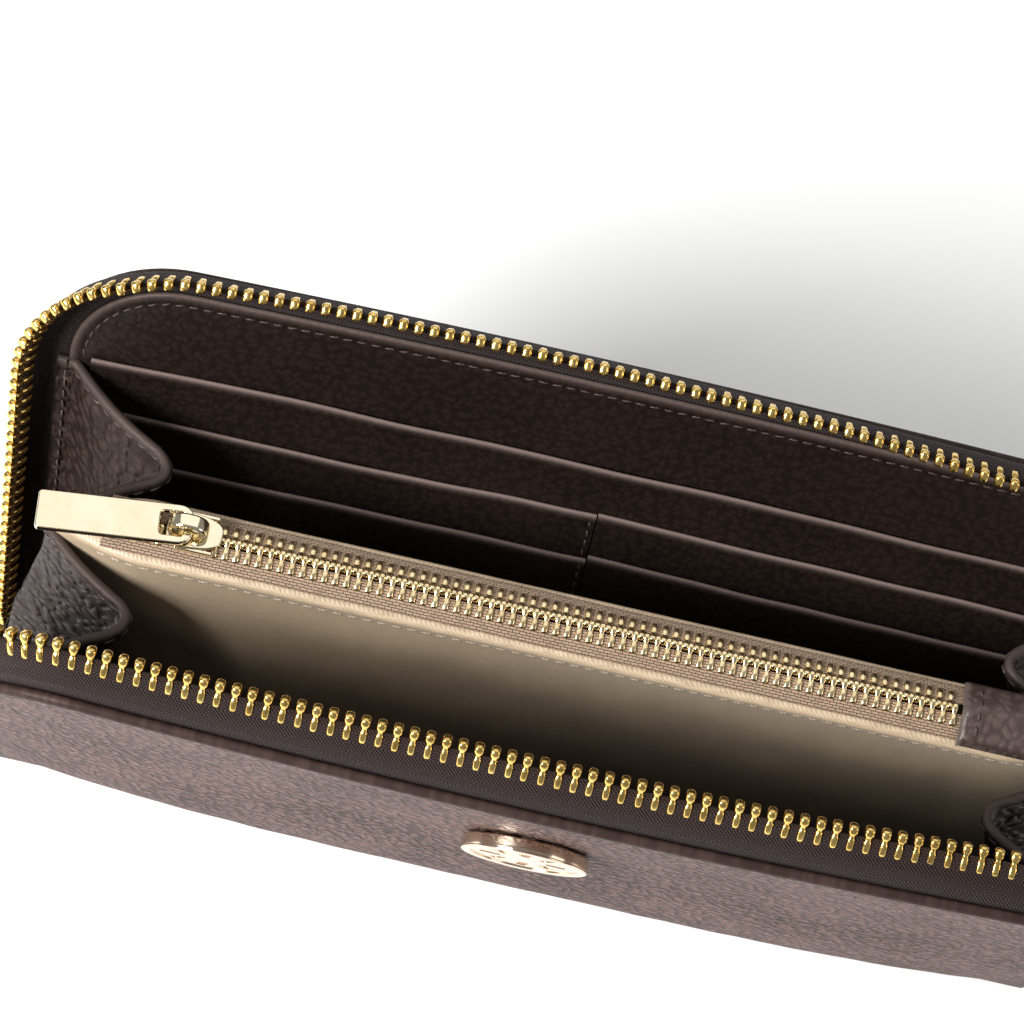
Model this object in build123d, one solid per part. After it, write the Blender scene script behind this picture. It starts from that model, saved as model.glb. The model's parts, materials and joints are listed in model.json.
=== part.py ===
from build123d import *
import math
import os

os.makedirs("parts", exist_ok=True)

# ---------------------------------------------------------------- driving dimensions (mm, degrees)
# frame: X along the spine, +Y towards the back cover, +Z up; origin under the middle of the spine
REST_LEAN = 14.9            # each cover leans this far outwards from upright at rest
CREASE_Y = 10.5             # hinge line of a cover, measured from the middle plane
CREASE_Z = 3.0              # height of the hinge lines above the table
HALF_LENGTH = 94.0          # half the length of a cover
COVER_HEIGHT = 102.0        # cover edge above its hinge line
CORNER_RADIUS = 22.0        # cover's two outer corners
LEATHER = 1.2               # exterior leather
BOARD = 0.6                 # stiffener board, as thick as the zip tape
PANEL = 0.9                 # interior leather panel
POCKET = 0.8                # each card pocket leather
PANEL_INSET = 3.2           # interior panel's edge inside the cover's edge
BOARD_INSET = 7.0           # stiffener's edge inside the cover's edge
POCKET_MARGIN = 7.0         # card pockets end this far inside the cover's ends
POCKET_HALF = HALF_LENGTH - POCKET_MARGIN
POCKET_DROPS = (21.0, 32.0, 42.0)  # pocket edges below the cover's edge
POCKET_TOPS = tuple(COVER_HEIGHT - drop for drop in POCKET_DROPS)
COLUMN_GAP = 0.3            # slit between the two pocket columns
COLUMN_STEP = 0.6           # right column stands this much higher

TAPE = 0.6                  # main zip tape
TAPE_FLANGE = 6.0           # sewn width under the cover's edge
TIP_OUT = 5.2               # tooth tips beyond the cover's edge
TIP_IN = 7.5                # tooth tips inside the hinge plane, along the top
TIP_OUT_END = 4.5           # the same two at the spine ends
TIP_IN_END = 9.8
ROW_END = 12.5              # rows stop this far above the hinge line
TOOTH_PITCH = 2.5
TOOTH_HEAD = 1.85
TOOTH_LEG = 2.45
TOOTH_WIDTH = 1.2
TOOTH_THICK = 1.9

COIN_MARGIN = 10.5          # coin pocket ends this far inside the cover's ends
COIN_HALF = HALF_LENGTH - COIN_MARGIN
COIN_WALL = 0.6
COIN_WALL_Y = 0.9           # inner face of each coin pocket wall
COIN_DROP = 19.5            # the walls flare out to the zip this far below the cover's edge
COIN_TOP = COVER_HEIGHT - COIN_DROP
COIN_TAPE = 0.5
COIN_RIDGE_Z = COIN_TOP + 4.47     # middle of the coin zip
COIN_EDGE_Y = 4.9           # outer edge of its tapes
COIN_EDGE_Z = COIN_TOP + 2.4
COIN_LEFT = 6.5 - COIN_HALF        # tape ends
COIN_RIGHT = COIN_HALF - 5.5
COIN_TAB_LEFT = COIN_RIGHT - 13.5  # leather tab over the right end
COIN_PITCH = 1.8
COIN_FIRST = COIN_LEFT + 4.5
COIN_LAST = COIN_TAB_LEFT - 1.0
SLIDER_X = COIN_LEFT + 14.4        # coin slider at rest

PULLER_YAW = 7.0            # coin puller lies a little askew at rest
PULLER_LENGTH = 25.0
PULLER_WIDTH = 6.8
PULLER_THICK = 1.1

BADGE_RADIUS = 10.3
BADGE_THICK = 1.7
BADGE_DROP = 34.0           # badge centre below the cover's edge
BADGE_HEIGHT = COVER_HEIGHT - BADGE_DROP
BADGE_GAP = 0.3             # the badge stands on its posts this far off the leather
BADGE_POST_X = 5.0

GUSSET = 0.8
GUSSET_TOP = COVER_HEIGHT - CORNER_RADIUS
GUSSET_BOTTOM = 8.0
GUSSET_SEAM_X = HALF_LENGTH - 4.0
GUSSET_SEAM_W = -2.3
APEX_X = HALF_LENGTH - 25.5
APEX_Y = 13.8
APEX_LOW_X = HALF_LENGTH - 9.5
APEX_LOW_Y = 4.5
MIDFOLD_X = HALF_LENGTH - 7.3
MIDFOLD_Y = 0.5

MAIN_SLIDER_OUT = 4.6       # main slider, parked this far beyond the right end of the spine
MAIN_SLIDER_X = HALF_LENGTH + MAIN_SLIDER_OUT
MAIN_SLIDER_Z = 8.2
MAIN_PULLER_DROP = 14.0     # its puller slopes down to the table


# ---------------------------------------------------------------- helpers
def save(name, shape):
    export_step(shape, "parts/" + name + ".step")


def lean(shape):
    hinge = Axis((0, CREASE_Y, CREASE_Z), (1, 0, 0))
    return shape.rotate(hinge, -REST_LEAN)


def save_half(name, shape, side):
    leaned = lean(shape)
    if side == "front":
        leaned = mirror(leaned, about=Plane.XZ)
    save(side + "_" + name, leaned)


def plate(x_low, x_high, low, high, radius, w_in, w_out):
    """Flat layer of an upright cover between two distances from its hinge plane."""
    face = Pos((x_low + x_high) / 2, (low + high) / 2) * Rectangle(x_high - x_low, high - low)
    if radius > 0:
        face = fillet(face.vertices().group_by(Axis.Y)[-1], radius)
    start = Plane(origin=(0, CREASE_Y + w_out, CREASE_Z), x_dir=(1, 0, 0), z_dir=(0, -1, 0))
    return extrude(start * face, w_out - w_in)


def polygon(points):
    return make_face(Polyline(*points, close=True))


def prism_x(points, x_low, x_high):
    """Solid along X from a profile given as (y, z) points."""
    face = polygon([(x_low, y, z) for y, z in points])
    return extrude(face, amount=x_high - x_low, dir=(1, 0, 0))


def box(x0, x1, y0, y1, z0, z1):
    middle = Pos((x0 + x1) / 2, (y0 + y1) / 2, (z0 + z1) / 2)
    return middle * Box(abs(x1 - x0), abs(y1 - y0), abs(z1 - z0))


# ---------------------------------------------------------------- main zip
def tip_at(height):
    """Where the tooth tips are: distance beyond the edge and inside the hinge plane."""
    straight = COVER_HEIGHT - CORNER_RADIUS
    share = min(1.0, max(0.0, (straight - height) / (straight - ROW_END)))
    out = TIP_OUT + (TIP_OUT_END - TIP_OUT) * share
    inward = TIP_IN + (TIP_IN_END - TIP_IN) * share
    return out, -inward


def tape_direction(out, w):
    length = math.hypot(out - 0.2, w + 0.45)
    return (out - 0.2) / length, (w + 0.45) / length


def tape_section(out, w):
    """Tape profile as (n, w): n beyond the cover's edge, w from the hinge plane."""
    dn, dw = tape_direction(out, w)
    end_n = out - (TOOTH_HEAD + 0.05) * dn
    end_w = w - (TOOTH_HEAD + 0.05) * dw
    half = TAPE / 2
    return [
        (-TAPE_FLANGE, 0.0),
        (0.0, 0.0),
        (0.2 - half * dw, -0.45 + half * dn),
        (end_n - half * dw, end_w + half * dn),
        (end_n + half * dw, end_w - half * dn),
        (0.0, -0.69),
        (0.3 - PANEL_INSET, -TAPE),
        (-TAPE_FLANGE, -TAPE),
    ]


def top_face(x):
    out, w = tip_at(COVER_HEIGHT)
    edge = CREASE_Z + COVER_HEIGHT
    return polygon([(x, CREASE_Y + pw, edge + pn) for pn, pw in tape_section(out, w)])


def side_face(height, side):
    out, w = tip_at(height)
    z = CREASE_Z + height
    return polygon([(side * (HALF_LENGTH + pn), CREASE_Y + pw, z) for pn, pw in tape_section(out, w)])


def zip_tape():
    straight_x = HALF_LENGTH - CORNER_RADIUS
    straight_z = COVER_HEIGHT - CORNER_RADIUS
    tape = extrude(top_face(-straight_x), amount=2 * straight_x, dir=(1, 0, 0))
    for side in (-1, 1):
        corner = Axis((side * straight_x, 0, CREASE_Z + straight_z), (0, side, 0))
        bend = revolve(top_face(side * straight_x), axis=corner, revolution_arc=90)
        leg = loft([side_face(straight_z, side), side_face(ROW_END, side)], ruled=True)
        tape = tape + bend + leg
    return tape


def main_tooth():
    head = box(-TOOTH_WIDTH / 2, TOOTH_WIDTH / 2, 0, TOOTH_HEAD, -TOOTH_THICK / 2, TOOTH_THICK / 2)
    head = chamfer(head.edges().group_by(Axis.Y)[0], 0.3)
    leg_length = TOOTH_HEAD + TOOTH_LEG
    inner = TAPE / 2 + 0.05
    upper = box(-0.5, 0.5, TOOTH_HEAD - 0.2, leg_length, inner, TOOTH_THICK / 2)
    lower = box(-0.5, 0.5, TOOTH_HEAD - 0.2, leg_length, -TOOTH_THICK / 2, -inner)
    return head + upper + lower


def row_place(s):
    """Place of the tooth at distance s along the row from the middle of the top edge."""
    straight_x = HALF_LENGTH - CORNER_RADIUS
    straight_z = COVER_HEIGHT - CORNER_RADIUS
    bead = CORNER_RADIUS + TIP_OUT - TOOTH_HEAD
    quarter = bead * math.pi / 2
    side = 1 if s >= 0 else -1
    run = abs(s)
    if run <= straight_x:
        out, w = tip_at(COVER_HEIGHT)
        outward = (0.0, 1.0)
        tip = (run, COVER_HEIGHT + out)
    elif run <= straight_x + quarter:
        out, w = tip_at(COVER_HEIGHT)
        turn = (run - straight_x) / bead
        outward = (math.sin(turn), math.cos(turn))
        reach = CORNER_RADIUS + out
        tip = (straight_x + reach * outward[0], straight_z + reach * outward[1])
    else:
        height = straight_z - (run - straight_x - quarter)
        out, w = tip_at(height)
        outward = (1.0, 0.0)
        tip = (HALF_LENGTH + out, height)
    dn, dw = tape_direction(out, w)
    origin = (side * tip[0], CREASE_Y + w, CREASE_Z + tip[1])
    along = (outward[1], 0, -side * outward[0])
    normal = (side * -dw * outward[0], dn, -dw * outward[1])
    return Plane(origin=origin, x_dir=along, z_dir=normal).location


def row_length():
    straight_x = HALF_LENGTH - CORNER_RADIUS
    bead = CORNER_RADIUS + TIP_OUT - TOOTH_HEAD
    return straight_x + bead * math.pi / 2 + COVER_HEIGHT - CORNER_RADIUS - ROW_END


def tooth_count():
    """Teeth on each side of the middle one."""
    return int((row_length() - 4.5) / TOOTH_PITCH)


def tooth_row(offset):
    tooth = main_tooth()
    count = tooth_count()
    teeth = []
    for k in range(-count, count + 1):
        place = row_place(k * TOOTH_PITCH + offset)
        teeth.append(tooth.moved(place))
    return Compound(children=teeth)


def end_stops(offset):
    stop = box(-0.9, 0.9, 0.9, TOOTH_HEAD, -0.9, 0.9)
    last = (tooth_count() + 1) * TOOTH_PITCH - 0.1
    places = (row_place(offset - last), row_place(offset + last))
    return Compound(children=[stop.moved(place) for place in places])


# ---------------------------------------------------------------- the two halves
def badge_hole_cut(shape):
    for x in (-BADGE_POST_X, BADGE_POST_X):
        drill = Pos(x, CREASE_Y, CREASE_Z + BADGE_HEIGHT) * Rot(90, 0, 0) * Cylinder(0.8, 10)
        shape = shape - drill
    return shape


for half, offset in (("back", 0.0), ("front", TOOTH_PITCH / 2)):
    leather = plate(-HALF_LENGTH, HALF_LENGTH, 0.35, COVER_HEIGHT, CORNER_RADIUS, 0, LEATHER)
    board_x = HALF_LENGTH - BOARD_INSET
    board_radius = CORNER_RADIUS - BOARD_INSET
    board = plate(-board_x, board_x, 1.5, COVER_HEIGHT - BOARD_INSET, board_radius, -BOARD, 0)
    if half == "front":
        leather = badge_hole_cut(leather)
        board = badge_hole_cut(board)
    panel_x = HALF_LENGTH - PANEL_INSET
    panel_w = -BOARD - PANEL
    panel_radius = CORNER_RADIUS - PANEL_INSET
    panel_top = COVER_HEIGHT - PANEL_INSET
    panel = plate(-panel_x, panel_x, 1.5, panel_top, panel_radius, panel_w, -BOARD)
    save_half("cover_leather", leather, half)
    save_half("stiffener_board", board, half)
    save_half("interior_panel", panel, half)

    w = panel_w
    top = POCKET_TOPS[0]
    full_pocket = plate(-POCKET_HALF, POCKET_HALF, 2.0, top, 0, w - POCKET, w)
    save_half("pocket_full_width", full_pocket, half)
    for level, top in (("middle", POCKET_TOPS[1]), ("lower", POCKET_TOPS[2])):
        w = w - POCKET
        left = plate(-POCKET_HALF, -COLUMN_GAP / 2, 2.0, top, 0, w - POCKET, w)
        right = plate(COLUMN_GAP / 2, POCKET_HALF, 2.0, top + COLUMN_STEP, 0, w - POCKET, w)
        save_half("pocket_" + level + "_left", left, half)
        save_half("pocket_" + level + "_right", right, half)

    save_half("zip_tape", zip_tape(), half)
    save_half("zip_teeth", tooth_row(offset), half)
    save_half("zip_end_stops", end_stops(offset), half)


# ---------------------------------------------------------------- badge on the front cover
def badge():
    slots = 8
    disc = Cylinder(BADGE_RADIUS, BADGE_THICK)
    disc = chamfer(disc.edges().group_by(Axis.Z)[-1], 0.35)
    for k in range(slots):
        window = Rot(0, 0, k * 360 / slots) * Pos(5.4, 0, 0) * Box(3.6, 1.9, 3)
        disc = disc - window
    return disc


def badge_posts():
    length = LEATHER + BOARD + BADGE_GAP
    post = Cylinder(0.72, length)
    return Compound(children=[Pos(x, 0, 0) * post for x in (-BADGE_POST_X, BADGE_POST_X)])


def on_front(shape, w_mid):
    """Turns a piece lying flat on XY to face outwards on the upright back cover, then mirrors it."""
    upright = Pos(0, CREASE_Y + w_mid, CREASE_Z + BADGE_HEIGHT) * Rot(-90, 0, 0) * shape
    return mirror(lean(upright), about=Plane.XZ)


save("badge_plate", on_front(badge(), LEATHER + BADGE_GAP + BADGE_THICK / 2))
save("badge_posts", on_front(badge_posts(), (LEATHER + BADGE_GAP - BOARD) / 2))


# ---------------------------------------------------------------- spine and coin pocket
def spine():
    outer_y = CREASE_Y + LEATHER
    top = CREASE_Z - 0.5
    shell = box(-HALF_LENGTH, HALF_LENGTH, -outer_y, outer_y, 0, 8)
    low = shell.edges().filter_by(Axis.X).group_by(Axis.Z)[0]
    shell = fillet(low, 3.0)
    hollow = box(-HALF_LENGTH, HALF_LENGTH, -CREASE_Y, CREASE_Y, LEATHER, 12)
    low = hollow.edges().filter_by(Axis.X).group_by(Axis.Z)[0]
    hollow = fillet(low, 3.0 - LEATHER)
    past_end = HALF_LENGTH + 6.0
    return shell - hollow - box(-past_end, past_end, -outer_y - 8.3, outer_y + 8.3, top, 12)


def coin_wall(side):
    y0 = COIN_WALL_Y
    y1 = COIN_WALL_Y + COIN_WALL
    slab = box(-COIN_HALF, COIN_HALF, side * y0, side * y1, 1.8, COIN_TOP)
    profile = [
        (y0, COIN_TOP - 0.4),
        (y1, COIN_TOP - 0.4),
        (COIN_EDGE_Y + 0.2, COIN_EDGE_Z - 1.0),
        (COIN_EDGE_Y, COIN_EDGE_Z - 0.35),
        (COIN_EDGE_Y - 0.6, COIN_EDGE_Z - 0.3),
        (y0, COIN_TOP + 0.2),
    ]
    flare = prism_x([(side * y, z) for y, z in profile], COIN_LEFT, COIN_RIGHT)
    return slab + flare


def ridge_z(y):
    slope = (COIN_RIDGE_Z - COIN_EDGE_Z) / COIN_EDGE_Y
    return COIN_RIDGE_Z - slope * abs(y)


def coin_tape(side):
    half = COIN_TAPE / 2
    profile = [
        (1.0, ridge_z(1.0) - half),
        (COIN_EDGE_Y, ridge_z(COIN_EDGE_Y) - half),
        (COIN_EDGE_Y, ridge_z(COIN_EDGE_Y) + half),
        (1.0, ridge_z(1.0) + half),
    ]
    return prism_x([(side * y, z) for y, z in profile], COIN_LEFT, COIN_RIGHT)


def coin_tooth():
    inner = COIN_TAPE / 2 + 0.06
    head = box(-0.42, 0.42, -0.6, 0.95, -0.62, 0.62)
    upper = box(-0.36, 0.36, 0.8, 2.9, inner, 0.66)
    lower = box(-0.36, 0.36, 0.8, 2.9, -0.66, -inner)
    return head + upper + lower


def coin_teeth(side, offset):
    slope = math.degrees(math.atan2(COIN_RIDGE_Z - COIN_EDGE_Z, COIN_EDGE_Y))
    tooth = coin_tooth().rotate(Axis.X, -slope)
    if side < 0:
        tooth = mirror(tooth, about=Plane.XZ)
    teeth = []
    count = int((COIN_LAST - COIN_FIRST) / COIN_PITCH)
    for k in range(count):
        x = COIN_FIRST + offset + k * COIN_PITCH
        if abs(x - (SLIDER_X - 2.9)) > 1.9:
            teeth.append(Pos(x, 0, COIN_RIDGE_Z) * tooth)
    return Compound(children=teeth)


def coin_tab():
    y = COIN_EDGE_Y + 0.5
    low = 0.35
    high = 1.35
    profile = [
        (-y, ridge_z(y) + low),
        (0, COIN_RIDGE_Z + low),
        (y, ridge_z(y) + low),
        (y, ridge_z(y) + high),
        (0, COIN_RIDGE_Z + high),
        (-y, ridge_z(y) + high),
    ]
    return prism_x(profile, COIN_TAB_LEFT, COIN_RIGHT + 1.0)


save("spine_leather", spine())
lining_half = HALF_LENGTH - 4.0
save("spine_lining", box(-lining_half, lining_half, -7.5, 7.5, LEATHER, 1.8))
save("coin_pocket_back_wall", coin_wall(1))
save("coin_pocket_front_wall", coin_wall(-1))
save("coin_zip_tape_back", coin_tape(1))
save("coin_zip_tape_front", coin_tape(-1))
save("coin_zip_teeth_back", coin_teeth(1, 0))
save("coin_zip_teeth_front", coin_teeth(-1, COIN_PITCH / 2))
save("coin_zip_end_tab", coin_tab())
stop_x = COIN_LEFT + 1.6
save("coin_zip_end_stop", box(stop_x, stop_x + 1.0, -0.95, 0.95, COIN_RIDGE_Z - 1.0, COIN_RIDGE_Z + 0.6))


# ---------------------------------------------------------------- side gussets
def seam_y(z):
    """Where the gusset meets the leaning cover at a height."""
    turn = math.radians(REST_LEAN)
    height = (z - CREASE_Z + GUSSET_SEAM_W * math.sin(turn)) / math.cos(turn)
    return CREASE_Y + GUSSET_SEAM_W * math.cos(turn) + height * math.sin(turn)


def strip(points, z):
    """Folded strip of leather through three points, as a face at one height."""
    half = GUSSET / 2
    (ax, ay), (bx, by), (cx, cy) = points
    first = math.hypot(bx - ax, by - ay)
    second = math.hypot(cx - bx, cy - by)
    n1 = (-(by - ay) / first, (bx - ax) / first)
    n2 = (-(cy - by) / second, (cx - bx) / second)
    scale = half / (1 + n1[0] * n2[0] + n1[1] * n2[1])
    mx = (n1[0] + n2[0]) * scale
    my = (n1[1] + n2[1]) * scale
    outline = [
        (ax + half * n1[0], ay + half * n1[1]),
        (bx + mx, by + my),
        (cx + half * n2[0], cy + half * n2[1]),
        (cx - half * n2[0], cy - half * n2[1]),
        (bx - mx, by - my),
        (ax - half * n1[0], ay - half * n1[1]),
    ]
    return polygon([(x, y, z) for x, y in outline])


def gusset():
    top = [(GUSSET_SEAM_X, seam_y(GUSSET_TOP)), (APEX_X, APEX_Y), (MIDFOLD_X, MIDFOLD_Y)]
    low = [(GUSSET_SEAM_X, seam_y(GUSSET_BOTTOM)), (APEX_LOW_X, APEX_LOW_Y), (MIDFOLD_X, MIDFOLD_Y)]
    return loft([strip(low, GUSSET_BOTTOM), strip(top, GUSSET_TOP)], ruled=True)


right_back = gusset()
save("gusset_right_back", right_back)
save("gusset_right_front", mirror(right_back, about=Plane.XZ))
save("gusset_left_back", mirror(right_back, about=Plane.YZ))
save("gusset_left_front", mirror(mirror(right_back, about=Plane.YZ), about=Plane.XZ))


# ---------------------------------------------------------------- sliders and pullers
def slider_body(length, width, low, high, thick, post_width):
    """Two plates joined by a wedge post at the end where the rows part (-X)."""
    shape = RectangleRounded(length, width, width * 0.3)
    top = Pos(0, 0, high) * extrude(shape, thick)
    bottom = Pos(0, 0, low - thick) * extrude(shape, thick)
    post_x = -length / 2 + 1.6
    post = box(post_x - 0.9, post_x + 0.9, -post_width / 2, post_width / 2, low - 0.2, high + 0.2)
    rails = box(-length * 0.32, length * 0.42, width / 2 - 0.5, width / 2, high - 0.5, high + 0.2)
    return top + bottom + post + rails + mirror(rails, about=Plane.XZ)


def bail(scale, base):
    """Arch over the slider that the puller's end bar turns under."""
    half = 3.35 * scale
    outer = box(-half, half, -1.3 * scale, 1.3 * scale, base, base + 3.6 * scale)
    outer = fillet(outer.edges().filter_by(Axis.Y).group_by(Axis.Z)[-1], 1.5 * scale)
    inner = box(-2.45 * scale, 2.45 * scale, -3 * scale, 3 * scale, base - 1, base + 2.45 * scale)
    return outer - inner


def puller(length, width, thick, scale):
    """Flat pull with a window near its end bar; the bar's centre is at the origin, pull along -X."""
    bar = 0.8 * scale
    blank = Pos(bar - length / 2, 0, 0) * Box(length, width, thick)
    blank = fillet(blank.edges().filter_by(Axis.Z), 1.4 * scale)
    window = box(-4.7 * scale, -bar, -2.1 * scale, 2.1 * scale, -thick, thick)
    return blank - window


body = slider_body(9.0, 7.2, -1.95, 0.8, 0.6, 1.6)
save("coin_slider_body", Pos(SLIDER_X, 0, COIN_RIDGE_Z) * body)
save("coin_slider_bail", Pos(SLIDER_X - 1.0, 0, 0) * bail(1.0, COIN_RIDGE_Z + 1.4))
coin_pull = puller(PULLER_LENGTH, PULLER_WIDTH, PULLER_THICK, 1.0)
coin_pull_z = COIN_RIDGE_Z + 1.4 + 1.22
save("coin_puller", Pos(SLIDER_X - 1.0, 0, coin_pull_z) * Rot(0, 0, PULLER_YAW) * coin_pull)

MAIN_SCALE = 1.25
parked = Plane(origin=(MAIN_SLIDER_X, 0, MAIN_SLIDER_Z), x_dir=(0, 0, -1), z_dir=(1, 0, 0))
main_body = slider_body(11.0, 9.6, -1.4, 1.4, 0.9, 2.0)
main_base = 2.3
main_bar = main_base + 1.22 * MAIN_SCALE
save("main_slider_body", main_body.moved(parked.location))
save("main_slider_bail", bail(MAIN_SCALE, main_base).moved(parked.location))
main_pull = puller(31.0, 8.4, 1.3, MAIN_SCALE)
main_pull = mirror(main_pull, about=Plane.YZ).rotate(Axis.Y, MAIN_PULLER_DROP)
save("main_puller", Pos(MAIN_SLIDER_X + main_bar, 0, MAIN_SLIDER_Z) * main_pull)

tab = box(HALF_LENGTH + 0.2, HALF_LENGTH + 1.6, -8.0, 8.0, 1.0, 13.0)
tab = fillet(tab.edges().filter_by(Axis.X), 2.0)
save("zip_end_tab_right", tab)
save("zip_end_tab_left", mirror(tab, about=Plane.YZ))
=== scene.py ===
import bpy
import bmesh
import json
import math
import numpy as np
from mathutils import Matrix, Vector


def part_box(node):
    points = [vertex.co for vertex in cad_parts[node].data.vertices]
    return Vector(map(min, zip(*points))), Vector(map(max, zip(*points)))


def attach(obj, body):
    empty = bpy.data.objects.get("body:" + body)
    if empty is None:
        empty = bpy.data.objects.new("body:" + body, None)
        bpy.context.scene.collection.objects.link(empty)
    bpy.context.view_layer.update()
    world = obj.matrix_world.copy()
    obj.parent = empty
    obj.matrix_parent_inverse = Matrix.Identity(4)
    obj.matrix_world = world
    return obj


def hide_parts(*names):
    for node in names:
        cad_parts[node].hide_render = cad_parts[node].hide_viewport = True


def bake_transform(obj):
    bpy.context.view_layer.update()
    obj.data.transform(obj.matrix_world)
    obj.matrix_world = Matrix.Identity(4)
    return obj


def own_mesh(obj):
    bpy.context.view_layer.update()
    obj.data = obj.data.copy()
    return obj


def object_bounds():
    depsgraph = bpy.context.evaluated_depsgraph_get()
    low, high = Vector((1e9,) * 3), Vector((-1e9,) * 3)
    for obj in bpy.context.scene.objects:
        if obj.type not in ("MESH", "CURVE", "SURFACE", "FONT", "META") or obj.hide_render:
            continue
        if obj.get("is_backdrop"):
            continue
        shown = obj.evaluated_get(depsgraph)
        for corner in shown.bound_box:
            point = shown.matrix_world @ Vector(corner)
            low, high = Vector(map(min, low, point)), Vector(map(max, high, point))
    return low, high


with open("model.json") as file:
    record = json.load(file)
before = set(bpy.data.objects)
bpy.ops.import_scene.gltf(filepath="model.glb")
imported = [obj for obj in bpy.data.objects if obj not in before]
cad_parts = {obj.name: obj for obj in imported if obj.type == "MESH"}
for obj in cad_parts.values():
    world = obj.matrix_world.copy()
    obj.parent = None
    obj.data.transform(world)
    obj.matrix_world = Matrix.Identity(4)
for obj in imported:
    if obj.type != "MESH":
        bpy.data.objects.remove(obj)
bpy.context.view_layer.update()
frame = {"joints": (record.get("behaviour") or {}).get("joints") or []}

MM = 0.001
JOINT = {j["name"]: j for j in frame["joints"]}

# ------------------------------------------------------------ sizes, in mm, read from the CAD boxes


def span(node):
    lo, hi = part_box(node)
    return [c / MM for c in lo], [c / MM for c in hi]


LEATHER = 1.2
CREASE_Y = JOINT["back_hinge"]["pos_m"][1] / MM
CREASE_Z = JOINT["back_hinge"]["pos_m"][2] / MM
cover_hi = span("back_cover_leather")[1]
HALF = cover_hi[0]
RISE = cover_hi[2] - CREASE_Z
LEAN = 0.25
for _ in range(30):
    LEAN = math.atan2(cover_hi[1] - CREASE_Y - LEATHER * math.cos(LEAN), RISE)
COVER = RISE / math.cos(LEAN)
CORNER = 22.0
SIN, COS = math.sin(LEAN), math.cos(LEAN)
STRAIGHT_X = HALF - CORNER
STRAIGHT_V = COVER - CORNER
PANEL_INSET = 3.2
TIP_OUT, TIP_IN = 5.2, 7.5
TIP_OUT_END, TIP_IN_END = 4.5, 9.8
POCKET_HALF = 87
ROW_END = 12.5
HEAD, PITCH = 1.85, 2.5


def rng(seed):
    return np.random.default_rng(seed)


def bow(x, v):
    """The freed top edge of each cover bows outwards between its ends."""
    return 2.2 * np.clip(1 - (np.abs(x) / 97) ** 2, 0, 1) * np.clip(v / 98, 0, 1.1)


def belly(x, v):
    """Soft padded belly of the exterior leather."""
    low = np.clip(v / 18, 0, 1)
    rise = low * low * (3 - 2 * low) * np.exp(-(np.clip(v - 18, 0, None) / 35) ** 2)
    return 3.6 * rise * np.clip(1 - (np.abs(x) / HALF) ** 4, 0, 1)


def place(side, x, v, w):
    """Cover coordinates (x, height above the hinge line, outward distance) to the row frame in metres."""
    x, v, w = np.broadcast_arrays(np.asarray(x, float), np.asarray(v, float), np.asarray(w, float))
    out = w + bow(x, v)
    y = side * (CREASE_Y + out * COS + v * SIN)
    z = CREASE_Z - out * SIN + v * COS
    return np.stack([x, y, z], -1) * MM


WRAP_R = (CREASE_Z - LEATHER) / (1 - SIN)
WRAP_LEN = WRAP_R * (math.pi / 2 - LEAN)
WRAP_MID = CREASE_Y - WRAP_R * COS


def skin(side, x, q, h):
    """As place, and below q = 0 the leather turns under the spine."""
    x, q, h = np.broadcast_arrays(np.asarray(x, float), np.asarray(q, float), np.asarray(h, float))
    up = place(side, x, np.maximum(q, 0), h) / MM
    turn = np.clip(-q / WRAP_R, 0, math.pi / 2 - LEAN)
    ny, nz = np.cos(LEAN + turn), -np.sin(LEAN + turn)
    past = np.clip(-q - WRAP_LEN, 0, None)
    y = CREASE_Y - WRAP_R * COS + WRAP_R * ny - past + h * ny
    z = CREASE_Z + WRAP_R * SIN + WRAP_R * nz + h * nz
    down = np.stack([x, side * y, z], -1)
    return np.where((q < 0)[..., None], down, up) * MM


# ------------------------------------------------------------ mesh helpers
class Build:
    """One mesh in parts: vertices in metres, faces, material index, UV in mm and an edge attribute."""

    def __init__(self):
        self.v, self.f, self.m, self.uv, self.e, self.n = [], [], [], [], [], 0

    def add(self, verts, faces, mat=0, uv=None, edge=None):
        verts = np.asarray(verts, float).reshape(-1, 3)
        count = len(verts)
        self.v.append(verts)
        faces = [tuple(int(i) + self.n for i in f) for f in faces]
        self.f += faces
        self.m += [mat] * len(faces)
        self.uv.append(verts[:, [0, 2]] / MM if uv is None else np.asarray(uv, float).reshape(-1, 2))
        self.e.append(np.zeros(count) if edge is None else np.asarray(edge, float).reshape(-1))
        self.n += count
        return self

    def make(self, name, mats, merge=0.0, recalc=True):
        me = bpy.data.meshes.new(name)
        me.from_pydata(np.concatenate(self.v).tolist(), [], self.f)
        uv = np.concatenate(self.uv)
        layer = me.uv_layers.new(name="UVMap")
        index = np.zeros(len(me.loops), np.int32)
        me.loops.foreach_get("vertex_index", index)
        layer.data.foreach_set("uv", uv[index].astype(np.float32).ravel())
        att = me.attributes.new("edge", "FLOAT", "POINT")
        att.data.foreach_set("value", np.concatenate(self.e).astype(np.float32))
        for m in mats:
            me.materials.append(m)
        me.polygons.foreach_set("material_index", np.array(self.m, np.int32))
        me.polygons.foreach_set("use_smooth", np.ones(len(me.polygons), bool))
        bm = bmesh.new()
        bm.from_mesh(me)
        if merge:
            bmesh.ops.remove_doubles(bm, verts=bm.verts, dist=merge)
        if recalc:
            bmesh.ops.recalc_face_normals(bm, faces=bm.faces)
        bm.to_mesh(me)
        bm.free()
        me.update()
        o = bpy.data.objects.new(name, me)
        bpy.context.scene.collection.objects.link(o)
        return o


def grid_faces(rows, cols, wrap_cols=False, wrap_rows=False):
    r = np.arange(rows if wrap_rows else rows - 1)
    c = np.arange(cols if wrap_cols else cols - 1)
    rr, cc = np.meshgrid(r, c, indexing="ij")
    r2, c2 = (rr + 1) % rows, (cc + 1) % cols
    return np.stack([rr * cols + cc, rr * cols + c2, r2 * cols + c2, r2 * cols + cc], -1).reshape(-1, 4)


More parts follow.
